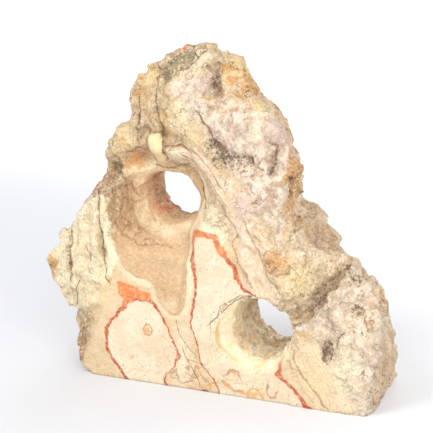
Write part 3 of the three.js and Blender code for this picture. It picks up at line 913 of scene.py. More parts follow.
@dataclass(frozen=True)
class StoneSkin:
    """The small relief and the markings of the stone's surface.

    Attributes:
        hollow: Outline of the tan bowl and its tongue.
        mass: Outline of the pale main mass.
        band: Outline of the smooth tan band beside it.
        shell: Outline of the smooth layered flank of the lobe.
        lobe: Outline of the pitted lobe.
        flank: Outline of the layered left flank.
        shoulder: Outline of the grainy shoulder.
        patch: Outline of the orange patch over the left cell.
        olive: Outline of the olive streak of the crown.
        nub: Outline of the smooth upright nub over the upper hole.
        ochre: Ochre patches.
        red: Small red specks.
        wall_red: Red patches on the wall of the upper hole.
        gold: Soft yellow areas.
        brown: Brown crusts.
        pink: Soft pink areas.
        cream: Soft pale areas.
        lip: Paler rims of the bowl's floor.
        soot: Dark specks.
        lumps: Small lumps.
        pits: Pits.
        grain_height: Height of the fine grain.
        chip_height: Height of the larger chips.
        small_chip_height: Height of the smaller chips.
        pit_depth: Depth of the pores.
        layer_height: Height of the thin layers of the left flank.
        vein_height: How far the red veins stand out.
        nub_height: How far the nub stands out.
        nub_round: Distance from the nub's edge at which it has its full height.
        vein_share: What the drawn widths of the veins are multiplied by.
        far_tan: How much of the upper hole wall's painted shade is laid far inside the lower hole.
        front_range: Distances behind the front surface between which its markings end.
        turned_range: Depths between which the stains end.
        far_range: Depths between which the far part of the holes' walls starts.
        clip: Largest distance that the material needs.
    """

    hollow: Line = (
        (-58, 103), (-58, 94), (-53, 82), (-50, 76), (-47, 69), (-42, 65), (-35, 62), (-29, 61),
        (-26, 58), (-24, 51), (-19, 45), (-15, 43), (-11, 44), (-8, 49), (-6.5, 58), (-6.5, 70),
        (-9, 84), (-9, 92), (-6, 99), (-3, 112), (-8, 126), (-20, 130), (-36, 122), (-46, 120),
        (-56, 114),
    )
    mass: Line = (
        (-16, 176), (-5, 180), (6, 172), (16, 168), (30, 167), (39, 164), (52, 152), (52, 112),
        (53, 90), (44, 102), (38, 111), (33, 122), (24, 128), (14, 133), (8, 142), (-1, 156),
        (-14, 160),
    )
    band: Line = (
        (-23, 136), (-12, 140), (0, 140), (15, 128), (25, 123), (33, 118), (42, 98), (50, 84),
        (56, 69), (50, 55), (36, 60), (28, 76), (25, 86), (21, 99), (12, 117), (-8, 120),
        (-28, 126),
    )
    shell: Line = (
        (55, 30), (57, 38), (66, 41), (70, 43), (73, 36), (80, 28), (88, 20), (93, 11), (95, -8),
        (74, -8), (69, 8), (60, 18),
    )
    lobe: Line = (
        (53, 45), (65, 50), (75, 60), (84, 75), (92, 90), (104, 78), (112, 50), (108, -10), (92, -10),
        (91, 17), (77, 27), (70, 42), (60, 40),
    )
    flank: Line = (
        (-108, 62), (-86, 88), (-66, 110), (-57, 106), (-57, 94), (-53, 83), (-49, 72), (-56, 60),
        (-62, 44), (-72, 38), (-92, 34),
    )
    shoulder: Line = (
        (53, 112), (60, 108), (80, 92), (90, 92), (83, 76), (74, 64), (62, 54), (52, 54), (54, 70),
        (58, 82),
    )
    patch: Line = (
        (-50, 59), (-44, 59), (-40, 57), (-31, 55), (-28, 53), (-30, 49), (-38, 50), (-43, 47),
        (-49, 51),
    )
    olive: Line = (
        (-26, 180), (-18, 186), (-17, 191), (-9, 192), (-1, 194), (-7, 184), (-14, 180), (-19, 174),
    )
    nub: Line = (
        (-33.5, 143), (-31, 144.5), (-26, 144.5), (-24, 142), (-24, 132), (-26, 127.5), (-29, 126),
        (-32, 127.5), (-33.5, 133),
    )
    ochre: Sequence[Spot] = (
        Spot((-46, 127), (7, 5), 1.2), Spot((26, 176), (6, 10), 1.1), Spot((50, 84), (7, 5), 1.6),
        Spot((-97, 62), (4, 7), 1.3), Spot((13, 184), (6, 2.4), 1.2), Spot((19, 177), (6, 7), 0.75),
        Spot((-37, 100), (2, 3), 0.5), Spot((-50, 124), (6, 4), 0.8),
        Spot((20, 13.5), (1.6, 1.2), 1.0), Spot((24, 13.4), (2.2, 1.8), 1.0),
        Spot((36, 16), (4, 3), 0.5), Spot((46, 6), (3, 3), 0.7), Spot((35, 3), (4, 2.5), 0.7),
        Spot((38, 21), (2, 2.5), 0.5), Spot((19, 6), (3.5, 2), 1.0), Spot((27, 3), (4, 1.6), 1.0),
        Spot((20, 162), (2, 1.5), 0.6), Spot((14, 162), (2, 1.5), 0.9),
        Spot((-42, 131), (5, 3), 0.9), Spot((-33, 152), (3.5, 6), 0.9),
        Spot((-20, 157), (3, 4), 0.95), Spot((-17, 151), (4, 3.5), 0.85),
        Spot((-31, 32), (2.2, 2.4), 1.5), Spot((-40, 14), (6, 4), 0.4), Spot((4, 169), (5, 2), 0.6),
        Spot((56, 110), (4, 14), 0.4), Spot((-35, 165), (4, 16), 0.45),
        Spot((-40, 168), (2.5, 12), 0.8), Spot((102, 62), (3, 10), 0.5),
        Spot((13, 29), (3, 4), 0.5), Spot((20, 89), (2, 2), 0.8), Spot((-50, 140), (6, 5), 0.4),
        Spot((55, 128), (4.5, 26), 1.0), Spot((8, 4), (4, 2), 0.9), Spot((0, 10), (3, 4), 0.6),
        Spot((33, 165), (4, 4), 0.4),
    )
    red: Sequence[Spot] = (
        Spot((20, 90), (1.6, 2), 0.9), Spot((2, 0), (4, 1.5), 0.8),
        Spot((-12, 194.5), (4, 2.5), 1.2), Spot((38, 92), (2.5, 1.5), 0.7),
        Spot((1, 14), (1.2, 1.2), 0.8), Spot((70, 96), (1.2, 6), 0.4),
        Spot((13, 6), (1.5, 1.5), 0.6), Spot((24, 2), (2.5, 1.2), 0.5),
        Spot((102, 60), (1.5, 4), 0.5), Spot((-1, 1.5), (4, 1.2), 0.9),
        Spot((16, 7), (1.5, 1.2), 0.7), Spot((57, 25.6), (0.8, 1.5), 0.8),
        Spot((17, 162), (1.5, 1.2), 0.7), Spot((-14, 196), (3, 2), 0.8),
    )
    wall_red: Sequence[Spot] = (
        Spot((-40, 110), (0.8, 5), 0.8), Spot((-38, 100), (2.4, 2.6), 1.1),
        Spot((-33, 96), (4, 2.4), 1.1),
    )
    gold: Sequence[Spot] = (
        Spot((-29, 137), (6, 9), 1.1), Spot((-50, 140), (9, 8), 0.8),
        Spot((-36, 168), (6, 16), 0.8), Spot((36, 166), (6, 4), 0.9),
        Spot((-14, 158), (8, 14), 0.6), Spot((-22, 178), (8, 8), 0.6),
        Spot((-6, 147), (12, 6), 0.4), Spot((-62, 52), (14, 12), 0.5),
        Spot((-76, 76), (6, 18), 0.4), Spot((62, 74), (12, 16), 0.7), Spot((-46, 120), (6, 6), 0.6),
        Spot((-97, 62), (5, 10), 0.6), Spot((48, 66), (9, 8), 0.4), Spot((74, 16), (14, 12), 0.4),
        Spot((20, 180), (12, 12), 0.8), Spot((-34, 180), (8, 8), 0.9),
        Spot((-20, 152), (8, 10), 0.7), Spot((40, 62), (12, 6), 0.5), Spot((-62, 90), (6, 20), 0.3),
    )
    brown: Sequence[Spot] = (
        Spot((-53.5, 102), (1.3, 12), 0.7), Spot((-50, 89), (2.6, 4), 0.85),
        Spot((-43, 84), (4, 2.4), 0.85), Spot((-37, 80.5), (4, 1.5), 0.75),
        Spot((-77, 16), (5, 15), 0.8), Spot((-85, 72), (2, 12), 0.7), Spot((-61, 116), (4, 9), 1.3),
        Spot((-67, 113), (4, 9), 1.2), Spot((-44, 158), (2.5, 14), 0.6),
        Spot((-45, 108), (1.2, 8), 0.5), Spot((-93, 44), (6, 6), 0.6), Spot((55, 124), (2, 4), 0.9),
        Spot((100, 55), (6, 5), 0.8), Spot((94, 50), (2, 3), 0.5), Spot((28, 178), (4, 9), 0.5),
        Spot((-97, 61), (1.5, 2.5), 0.9), Spot((48, 82), (5, 4), 0.6),
        Spot((1, 14), (1.2, 1.2), 0.9),
    )
    pink: Sequence[Spot] = (
        Spot((22, 150), (14, 12), 0.5), Spot((30, 112), (8, 10), 0.8), Spot((4, 176), (8, 6), 0.8),
        Spot((-39, 150), (1.5, 8), 0.5), Spot((70, 60), (6, 5), 0.6), Spot((29, 66), (6, 6), 0.6),
        Spot((26, 88), (2, 12), 0.5), Spot((46, 154), (6, 8), 0.8), Spot((-9, 60), (2, 12), 0.5),
        Spot((80, 50), (6, 8), 0.35), Spot((20, 175), (6, 6), 0.6), Spot((-86, 70), (3, 16), 0.4),
        Spot((-12, 171), (9, 7), 0.4), Spot((98, 72), (4, 6), 0.5), Spot((66, 90), (5, 6), 0.4),
    )
    cream: Sequence[Spot] = (
        Spot((-13, 156), (9, 14), 0.8), Spot((8, 97), (14, 20), 0.9), Spot((4, 106), (5, 12), 0.9),
        Spot((-5, 70), (2.5, 26), 0.6), Spot((-10, 18), (8, 22), 0.6), Spot((28, 8), (30, 8), 0.5),
        Spot((22, 56), (14, 5), 0.4), Spot((-55, 90), (4, 16), 0.7), Spot((34, 153), (9, 7), 0.7),
        Spot((-49, 141), (8, 8), 0.6), Spot((-36, 62), (14, 5), 0.5), Spot((0, 187), (14, 7), 0.8),
        Spot((-24, 184), (6, 6), 0.7), Spot((90, 24), (9, 24), 0.9), Spot((98, 50), (7, 14), 0.5),
        Spot((-29, 138), (5, 9), 1.3), Spot((-58, 84), (5, 24), 0.6), Spot((-72, 70), (5, 24), 0.6),
        Spot((-94, 60), (5, 20), 0.5), Spot((-66, 60), (6, 22), 0.6),
    )
    lip: Sequence[Spot] = (
        Spot((-24, 88), (8, 4)), Spot((-13, 96), (5, 7)), Spot((-32, 90), (3, 5), 0.7),
        Spot((-40, 98), (1.5, 9), 0.6), Spot((-22, 48), (3, 4), 0.5), Spot((-11, 70), (2, 10), 0.5),
        Spot((-18, 48), (4, 3), 0.6),
    )
    soot: Sequence[Spot] = (
        Spot((9, 143), (4, 6), 0.7), Spot((16, 136), (7, 5), 1.0), Spot((27, 133), (8, 4), 0.6),
        Spot((7, 176), (2.6, 6), 0.75), Spot((-39, 143), (1.6, 2.4), 0.9),
        Spot((74, 64), (6, 6), 1.0), Spot((67, 56), (4, 3), 0.6), Spot((78, 34), (2.8, 4.8), 1.5),
        Spot((94, 60), (3, 3), 1.2), Spot((93, 76), (4, 3.5), 0.9), Spot((99, 37), (1.5, 3), 0.8),
        Spot((99, 25), (1.5, 3), 0.8), Spot((103, 12), (3, 4), 0.6), Spot((99, 49), (3, 3), 0.5),
        Spot((-84, 68), (2, 12), 0.4), Spot((37, 113), (3, 5), 0.5), Spot((27, 172), (4, 6), 0.4),
        Spot((33, 128), (8, 4), 0.35), Spot((-58, 118), (3, 8), 0.3), Spot((88, 82), (4, 3), 0.6),
        Spot((4, 0), (3, 1.5), 1.0),
    )
    lumps: Sequence[Spot] = (
        Spot((45.5, 86), (2, 2), 2.6), Spot((50.5, 85.5), (2.6, 2.4), 2.8),
        Spot((55, 81.5), (2.4, 2.2), 2.4), Spot((48, 80.5), (2.2, 2), 2.2),
        Spot((-46, 127), (3, 2), 1.2), Spot((-41, 129), (2, 2), 1.2), Spot((-51, 145), (3, 3), 1.2),
        Spot((-55, 136), (3, 4), 1.0), Spot((-44, 136), (2, 3), 1.2), Spot((72, 84), (3, 2), 1.2),
        Spot((64, 78), (2, 3), 1.0), Spot((67, 90), (2, 2), 1.0),
    )
    pits: Sequence[Spot] = (
        Spot((78, 34), (2.4, 4), 3.0), Spot((94, 60), (2.5, 2.5), 2.0), Spot((93, 76), (3.5, 2.5), 2.5),
        Spot((99, 37), (1.5, 3), 1.2), Spot((99, 25), (1.5, 3), 1.2), Spot((55, 124), (1.8, 3.5), 2.5),
        Spot((74, 64), (3, 3), 1.5), Spot((87, 78), (3, 2), 1.8), Spot((4, 0), (3, 2), 2.0),
        Spot((-96, 61), (1.8, 2.8), 1.5), Spot((-39, 139), (2, 2), 1.5),
    )
    grain_height: float = 0.14
    chip_height: float = 1.35
    small_chip_height: float = 0.8
    pit_depth: float = 1.1
    layer_height: float = 0.3
    vein_height: float = 0.15
    nub_height: float = 2.6
    nub_round: float = 3.5
    vein_share: float = 0.8
    far_tan: float = 0.2
    front_range: Point = (12, 5)
    turned_range: Point = (45, 25)
    far_range: Point = (14, 34)
    clip: float = 10.0

    def region(self, outline: Line, x: Array, z: Array) -> Array:
        """Gives distances to an outline, negative inside, as far as the material needs them."""
        return np.clip(outline_distance(outline, x, z), -self.clip, self.clip)

    @staticmethod
    def total(stains: Sequence[Spot], x: Array, z: Array) -> Array:
        """Gives the strongest of the patches at each point."""
        return np.max([stain.at_points(x, z) for stain in stains], axis=0)

    @staticmethod
    def nearest_line(lines: Sequence[Stroke], x: Array, z: Array) -> tuple[Array, Array, Array]:
        """Finds the nearest thin line to each point.

        Args:
            lines: Lines to look among.
            x: Places along X.
            z: Places along Z.

        Returns:
            Signed distances to it, half its width and its depth.
        """
        nearest = np.full(x.shape, 99.0)
        width = np.ones(x.shape)
        depth = np.zeros(x.shape)
        for line in lines:
            off = path_distance(line.path, x, z)
            closer = np.abs(off) < np.abs(nearest)
            nearest = np.where(closer, off, nearest)
            width = np.where(closer, line.width, width)
            depth = np.where(closer, line.depth, depth)
        return nearest, width, depth

    def vein_width(self, x: Array, z: Array) -> Array:
        """Gives half the width of the red vein at the nearest point of a cell's edge.

        Args:
            x: Places along X.
            z: Places along Z.

        Returns:
            Half the width at each place.
        """
        nearest = np.full(x.shape, np.inf)
        width = np.ones(x.shape)
        for a, b in (*zip(LEFT_CELL[:-1], LEFT_CELL[1:]), *zip(MIDDLE_CELL[:-1], MIDDLE_CELL[1:])):
            squared, _, t = to_segment(x, z, a[:2], b[:2])
            width = np.where(squared < nearest, a[2] + t * (b[2] - a[2]), width)
            nearest = np.minimum(nearest, squared)
        return self.vein_share * width

    def marks(self, form: StoneForm, points: Array) -> dict[Mark, Array]:
        """Works out every marking at the points of the surface.

        Args:
            form: Form of the stone.
            points: Places of the points.

        Returns:
            One value for each point under each name.
        """
        x, y, z = points.T
        (long, high), (short, low) = LONG_STRAY, FINE_STRAY
        stray_x, stray_z = (
            high * noise(x / long, y / long, z / long, seed)
            + low * noise(x / short, y / short, z / short, seed + 1)
            for seed in (61, 63)
        )
        sx, sz = x + stray_x, z + stray_z
        wide_x, wide_z = x + 2.2 * stray_x, z + 2.2 * stray_z
        past_front = y - form.front_depth(x, z)
        front = ease(*self.front_range, past_front)
        outlines = [[point[:2] for point in cell] for cell in (LEFT_CELL, MIDDLE_CELL)]
        cell = np.minimum(*(outline_distance(outline, sx, sz) for outline in outlines))
        off, width, _ = self.nearest_line(CRACKS, x + 0.7 * stray_x, z + 0.7 * stray_z)
        yellow, yellow_width, _ = self.nearest_line(YELLOW_LINES, sx, sz)
        brown, brown_width, _ = self.nearest_line(BROWN_LINES, x + 1.5 * stray_x, z + 1.5 * stray_z)
        walls = [outline_distance(hole.core, x, z) - hole.opening(y) for hole in form.holes]
        inward = ease(-1, 3, past_front) * ease(2, 9, form.back_depth(x, z) - y)
        lower_walls, upper_walls = (ease(3.2, 1.0, wall) * inward for wall in walls)
        far = ease(*self.far_range, y)
        turned = ease(*self.turned_range, y)
        red = self.total(self.red, sx, sz) * turned
        nub = self.region(self.nub, x, z)
        rough = 1 - (1 - form.kept_relief(x, z)) * front
        rough = np.maximum(rough, 0.9 * self.total(self.brown, sx, sz)) * (1 - ease(1.5, -0.5, nub) * front)
        return {
            Mark.CELL: np.clip(cell, -self.clip, self.clip),
            Mark.VEIN: self.vein_width(x, z),
            Mark.PATCH: self.region(self.patch, sx, sz),
            Mark.HOLLOW: self.region(self.hollow, sx, sz),
            Mark.MASS: self.region(self.mass, wide_x, wide_z),
            Mark.BAND: self.region(self.band, wide_x, wide_z),
            Mark.SHELL: self.region(self.shell, sx, sz),
            Mark.LOBE: self.region(self.lobe, sx, sz),
            Mark.FLANK: self.region(self.flank, sx, sz),
            Mark.SHOULDER: self.region(self.shoulder, wide_x, wide_z),
            Mark.OLIVE: self.region(self.olive, sx, sz),
            Mark.NUB: nub,
            Mark.YELLOW: np.clip(yellow / yellow_width, -9, 9),
            Mark.BROWN_LINE: np.clip(brown / brown_width, -9, 9),
            Mark.OCHRE: self.total(self.ochre, sx, sz) * turned,
            Mark.GOLD: self.total(self.gold, sx, sz) * turned,
            Mark.RED: np.maximum(red, self.total(self.wall_red, sx, sz) * far),
            Mark.BROWN: self.total(self.brown, sx, sz) * turned,
            Mark.PINK: self.total(self.pink, sx, sz) * turned,
            Mark.CREAM: self.total(self.cream, sx, sz) * front,
            Mark.LIP: self.total(self.lip, sx, sz) * front,
            Mark.SOOT: self.total(self.soot, sx, sz) * front,
            # Lower hole's wall: the material paints it near white, as painted light where the lamps hardly
            # reach.
            Mark.PAINTED_TUNNEL_LIGHT: lower_walls,
            # Painted shade: the upper hole's wall and the far end of the lower one, which the material
            # colours a darker tan.
            Mark.HOLE_SHADE: np.maximum(upper_walls, self.far_tan * lower_walls * far),
            Mark.CRACK: np.clip(off, -3, 3) / width,
            Mark.CRACK_SHARE: ease(2.4, 1.4, np.abs(off)) * front,
            Mark.FRONT: front,
            Mark.ROUGH: rough,
        }

    def height(self, points: Array, marks: dict[Mark, Array]) -> Array:
        """Works out the small relief: grain, chips, pits, thin layers, cracks and raised veins.

        Args:
            points: Places of the points.
            marks: Their markings.

        Returns:
            How far each point moves outwards.
        """
        x, y, z = points.T
        rough = marks[Mark.ROUGH]
        front = marks[Mark.FRONT]
        grain = noise(x / 3.1, y / 3.1, z / 3.1, 71) + 0.6 * noise(x / 5.3, y / 5.3, z / 5.3, 72)
        a, b, c = 0.8 * x + 0.6 * z, -0.6 * x + 0.8 * z, y
        large = chips(a / 12, c / 12, b / 12, 81)
        small = chips(a / 5, b / 5, c / 5, 83)
        chipped = self.chip_height * large + self.small_chip_height * small
        pits = ease(0.28, 0.62, noise(x / 4.2, y / 4.2, z / 4.2, 73)) * (0.2 + 0.8 * marks[Mark.SOOT])
        on_flank = ease(1, -3, marks[Mark.FLANK])
        layers = noise((x + 0.12 * z) / 2.6, y / 7, z / 30, 74) * on_flank
        off, width, depth = self.nearest_line(CRACKS, x, z)
        cracks = front * depth * np.exp(-((off / np.maximum(width * 1.6, 1.0)) ** 2))
        on_panel = front * inside(PANEL, x, z)
        vein = ease(1.6, 0.4, np.abs(marks[Mark.CELL]) / marks[Mark.VEIN]) * on_panel
        return (
            self.grain_height * (0.2 + 0.8 * rough) * grain
            + rough**1.5 * (1 - 0.6 * on_flank) * chipped
            - self.pit_depth * rough * pits
            + front * (self.total(self.lumps, x, z) - self.total(self.pits, x, z))
            + self.layer_height * layers
            + front * self.nub_height * np.sqrt(np.clip(-marks[Mark.NUB] / self.nub_round, 0, 1))
            - cracks
            + self.vein_height * vein
        )


# Materials

Socket = bpy.types.NodeSocket
Input = object  # a socket, a number or a colour
Triple = tuple[float, float, float]

BLACK = (0.0, 0.0, 0.0)
WHITE = (1.0, 1.0, 1.0)


def seen(red: float, green: float, blue: float) -> Colour:
    """Turns a screen colour of 0 to 255 into the colour that the shader takes."""
    shares = (value / 255 for value in (red, green, blue))
    return tuple(s / 12.92 if s <= 0.04045 else ((s + 0.055) / 1.055) ** 2.4 for s in shares)


class NodeSheet:
    """Lays out the nodes of one material, with short names for what the stone needs."""

    def __init__(self, name: str) -> None:
        """Makes an empty material.

        Args:
            name: Name of the material.
        """
        self.material = bpy.data.materials.new(name)
        self.material.use_nodes = True
        self.tree = self.material.node_tree
        self.tree.nodes.clear()
        self.place = self.tree.nodes.new("ShaderNodeTexCoord").outputs["Object"]

    def put(self, socket: Socket, value: Input) -> None:
        """Links a socket to another one or sets its value.

        Args:
            socket: Input socket.
            value: Output socket, number, or colour.
        """
        if isinstance(value, Socket):
            self.tree.links.new(value, socket)
        elif isinstance(value, tuple) and len(value) == 3 and socket.type == "RGBA":
            socket.default_value = (*value, 1.0)
        else:
            socket.default_value = value

    def mark(self, mark: Mark) -> Socket:
        """Reads one of the mesh's own values.

        Args:
            mark: Name of the value.

        Returns:
            The value.
        """
        node = self.tree.nodes.new("ShaderNodeAttribute")
        node.attribute_name = mark.value
        return node.outputs["Fac"]

    def maths(self, operation: str, first: Input, second: Input = 0.0) -> Socket:
        """Works out one step of arithmetic.

        Args:
            operation: Name of the operation.
            first: First socket or number.
            second: Second socket or number.

        Returns:
            The result.
        """
        node = self.tree.nodes.new("ShaderNodeMath")
        node.operation = operation
        self.put(node.inputs[0], first)
        self.put(node.inputs[1], second)
        return node.outputs[0]

    def times(self, first: Input, second: Input) -> Socket:
        """Multiplies two values."""
        return self.maths("MULTIPLY", first, second)

    def plus(self, first: Input, second: Input) -> Socket:
        """Adds two values."""
        return self.maths("ADD", first, second)

    def size_of(self, value: Input) -> Socket:
        """Gives a value without its sign."""
        return self.maths("ABSOLUTE", value)

    def vector(self, operation: str, *values: Input, output: str = "Vector") -> Socket:
        """Works out one step of arithmetic on vectors.

        Args:
            operation: Name of the operation.
            values: Vectors that it takes.
            output: Which of its results is wanted.

        Returns:
            The result.
        """
        node = self.tree.nodes.new("ShaderNodeVectorMath")
        node.operation = operation
        for socket, value in zip(node.inputs, values):
            self.put(socket, value)
        return node.outputs[output]

    def step(self, value: Input, start: float, end: float) -> Socket:
        """Gives an eased step from 0 at start to 1 at end.

        Args:
            value: Socket or number that is compared.
            start: Value that gives 0.
            end: Value that gives 1.

        Returns:
            The step.
        """
        node = self.tree.nodes.new("ShaderNodeMapRange")
        node.interpolation_type = "SMOOTHSTEP"
        self.put(node.inputs["Value"], value)
        node.inputs["From Min"].default_value = start
        node.inputs["From Max"].default_value = end
        return node.outputs["Result"]

    def mapped(self, size: float, shift: float, stretch: Triple = (1, 1, 1),
               turn: Triple = (0, 0, 0)) -> Socket:
        """Gives the places of a pattern.

        Args:
            size: Size of its parts in millimetres.
            shift: Place that it is moved to, so that two of one size differ.
            stretch: How much smaller its parts are along each axis.
            turn: How it is turned about each axis.

        Returns:
            Places in sizes of its parts.
        """
        node = self.tree.nodes.new("ShaderNodeMapping")
        node.inputs["Scale"].default_value = [1 / (METRE * size) * share for share in stretch]
        node.inputs["Location"].default_value = (shift, 0.7 * shift, -shift)
        node.inputs["Rotation"].default_value = turn
        self.put(node.inputs["Vector"], self.place)
        return node.outputs["Vector"]

    def grain(self, size: float, detail: float, shift: float = 0.0, stretch: Triple = (1, 1, 1)) -> Socket:
        """Gives procedural noise of about 0.2 to 0.8.

        Args:
            size: Size of its lumps in millimetres.
            detail: How many finer layers it has.
            shift: Place that it is moved to.
            stretch: How much smaller its lumps are along each axis.

        Returns:
            The noise.
        """
        node = self.tree.nodes.new("ShaderNodeTexNoise")
        node.inputs["Scale"].default_value = 1.0
        node.inputs["Detail"].default_value = detail
        node.inputs["Roughness"].default_value = 0.6
        self.put(node.inputs["Vector"], self.mapped(size, shift, stretch))
        return node.outputs["Fac"]

    def mottle(self, size: float, detail: float, low: float, high: float, shift: float = 0.0,
               stretch: Triple = (1, 1, 1)) -> Socket:
        """Gives patches of 0 and 1, made from noise.

        Args:
            size: Size of the patches in millimetres.
            detail: How many finer layers the noise has.
            low: Noise that gives 0.
            high: Noise that gives 1.
            shift: Place that it is moved to.
            stretch: How much smaller the patches are along each axis.

        Returns:
            The patches.
        """
        return self.step(self.grain(size, detail, shift, stretch), low, high)

    def stray(self, size: float, detail: float, reach: float, shift: float) -> Socket:
        """Gives noise round zero that moves edges by up to about half its reach."""
        return self.times(self.maths("SUBTRACT", self.grain(size, detail, shift), 0.5), reach)

    def shards(self, size: float, edges: bool = False, shift: float = 0.0) -> Socket:
        """Gives a pattern of small flat shards, each tilted its own way.

        Args:
            size: Size of the shards in millimetres.
            edges: Whether distances to their edges are given in place of heights.
            shift: Place that it is moved to.

        Returns:
            Heights or distances, in sizes of a shard.
        """
        places = self.mapped(size, shift, turn=(0.4, 0.7, 0.2))
        stray = self.tree.nodes.new("ShaderNodeTexNoise")
        stray.inputs["Scale"].default_value = 1.3
        self.put(stray.inputs["Vector"], places)
        moved = self.vector("MULTIPLY_ADD", stray.outputs["Color"], (0.7, 0.7, 0.7), places)
        node = self.tree.nodes.new("ShaderNodeTexVoronoi")
        node.inputs["Scale"].default_value = 1.0
        self.put(node.inputs["Vector"], moved)
        if edges:
            node.feature = "DISTANCE_TO_EDGE"
            return node.outputs["Distance"]
        tilt = self.vector("SUBTRACT", node.outputs["Color"], (0.5, 0.5, 0.5))
        off = self.vector("SUBTRACT", moved, node.outputs["Position"])
        return self.vector("DOT_PRODUCT", off, tilt, output="Value")

    def blend(self, under: Input, over: Input, share: Input, strength: float | None = None) -> Socket:
        """Lays one colour over another.

        Args:
            under: Colour or socket below.
            over: Colour or socket above.
            share: How much of the upper one shows.
            strength: What that share is multiplied by, if anything.

        Returns:
            The blended colour.
        """
        node = self.tree.nodes.new("ShaderNodeMix")
        node.data_type = "RGBA"
        self.put(node.inputs["Factor"], share if strength is None else self.times(share, strength))
        colours = [socket for socket in node.inputs if socket.type == "RGBA"]
        for socket, value in zip(colours, (under, over)):
            self.put(socket, value)
        return [socket for socket in node.outputs if socket.type == "RGBA"][0]

    def finish(self, colour: Input, roughness: Input, bumps: Sequence[tuple[Input, float]] = (),
               glow: tuple[Input, Input] | None = None) -> bpy.types.Material:
        """Ends the material in its shader.

        Args:
            colour: Base colour.
            roughness: How dull the surface is.
            bumps: Heights from 0 to 1 and what 1 is in millimetres.
            glow: Colour and strength of the light it gives off.

        Returns:
            The material.
        """
        shader = self.tree.nodes.new("ShaderNodeBsdfPrincipled")
        shader.inputs["Specular IOR Level"].default_value = 0.3
        self.put(shader.inputs["Base Color"], colour)
        self.put(shader.inputs["Roughness"], roughness)
        normal = None
        for height, size in bumps:
            node = self.tree.nodes.new("ShaderNodeBump")
            node.inputs["Distance"].default_value = size * METRE
            node.inputs["Strength"].default_value = 1.0
            self.put(node.inputs["Height"], height)
            if normal is not None:
                self.put(node.inputs["Normal"], normal)
            normal = node.outputs["Normal"]
        if normal is not None:
            self.put(shader.inputs["Normal"], normal)
        if glow is not None:
            self.put(shader.inputs["Emission Color"], glow[0])
            self.put(shader.inputs["Emission Strength"], glow[1])
        output = self.tree.nodes.new("ShaderNodeOutputMaterial")
        self.put(output.inputs["Surface"], shader.outputs[0])
        return self.material


Tones = tuple[Colour, Colour]


@dataclass(frozen=True)
class StonePaint:
    """Colours of the stone, each as it looks in full light.

    A pair is the colour of an area and what is mottled into it.

    Attributes:
        matrix: Ground of the front.
        side: Hidden sides.
        cell: Pale cells of the panel.
        hollow: Tan bowl.
        mass: Main mass.
        band: Smooth tan band.
        shell: Layered flank of the lobe.
        lobe: Pitted lobe.
        flank: Left flank.
        painted_tunnel_light: Wall of the lower hole, far paler than the stone: painted light for the light
            on that wall and floor, which the lamps hardly reach.
        deep: Painted shade in a darker tan on the wall of the upper hole and on the far end of the lower
            one.
        shoulder: Grainy shoulder, and pale patches of the hidden sides.
        shoulder_dark: What is between its grains, and dust elsewhere.
        vein: Narrow red veins.
        vein_wide: Wide veins, the orange patch and red specks.
        vein_edge: Paler specks in the veins and the ground beside them.
        yellow: Yellow lines.
        ochre: Ochre patches.
        gold: Soft yellow areas.
        brown: Brown crusts, and the painted shade in the low places between chips.
        brown_dark: What is mottled into the crusts, and dark grains.
        brown_line: Thin brown lines.
        pink: Soft pink areas.
        cream: Soft pale areas.
        olive: Olive streak of the crown.
        nub: Nub over the upper hole.
        soot: Dark specks.
        crack: Cracks.
        share: How much of the finished colour is kept from black, as the lamps lighten it. The wall of the
            lower hole is left out, so that its painted light stays bright.
    """

    matrix: Tones = (seen(223, 201, 165), seen(217, 188, 147))
    side: Tones = (seen(227, 200, 164), seen(206, 162, 116))
    cell: Tones = (seen(237, 223, 196), seen(229, 209, 177))
    hollow: Tones = (seen(210, 177, 137), seen(201, 167, 127))
    mass: Tones = (seen(241, 227, 208), seen(196, 170, 150))
    band: Tones = (seen(253, 233, 205), seen(238, 208, 172))
    shell: Tones = (seen(238, 216, 181), seen(220, 187, 145))
    lobe: Tones = (seen(244, 230, 208), seen(216, 193, 168))
    flank: Tones = (seen(255, 242, 206), seen(240, 214, 170))
    # Painted light: far paler than the stone, for the light on the lower hole's wall and floor.
    painted_tunnel_light: Tones = (seen(255, 250, 222), seen(255, 230, 186))
    # Painted shade: a darker tan for the shaded walls deep in the holes.
    deep: Tones = (seen(216, 174, 134), seen(196, 152, 112))
    shoulder: Colour = seen(252, 233, 202)
    shoulder_dark: Colour = seen(236, 206, 168)
    vein: Colour = seen(186, 78, 52)
    vein_wide: Colour = seen(226, 130, 70)
    vein_edge: Colour = seen(232, 160, 116)
    yellow: Colour = seen(214, 168, 80)
    ochre: Colour = seen(224, 164, 96)
    gold: Colour = seen(250, 223, 160)
    brown: Colour = seen(188, 148, 112)
    brown_dark: Colour = seen(140, 104, 76)
    brown_line: Colour = seen(168, 128, 92)
    pink: Colour = seen(222, 196, 188)
    cream: Colour = seen(252, 240, 207)
    olive: Colour = seen(130, 122, 92)
    nub: Colour = seen(244, 217, 172)
    soot: Colour = seen(96, 86, 76)
    crack: Colour = seen(100, 80, 60)
    share: float = 0.89


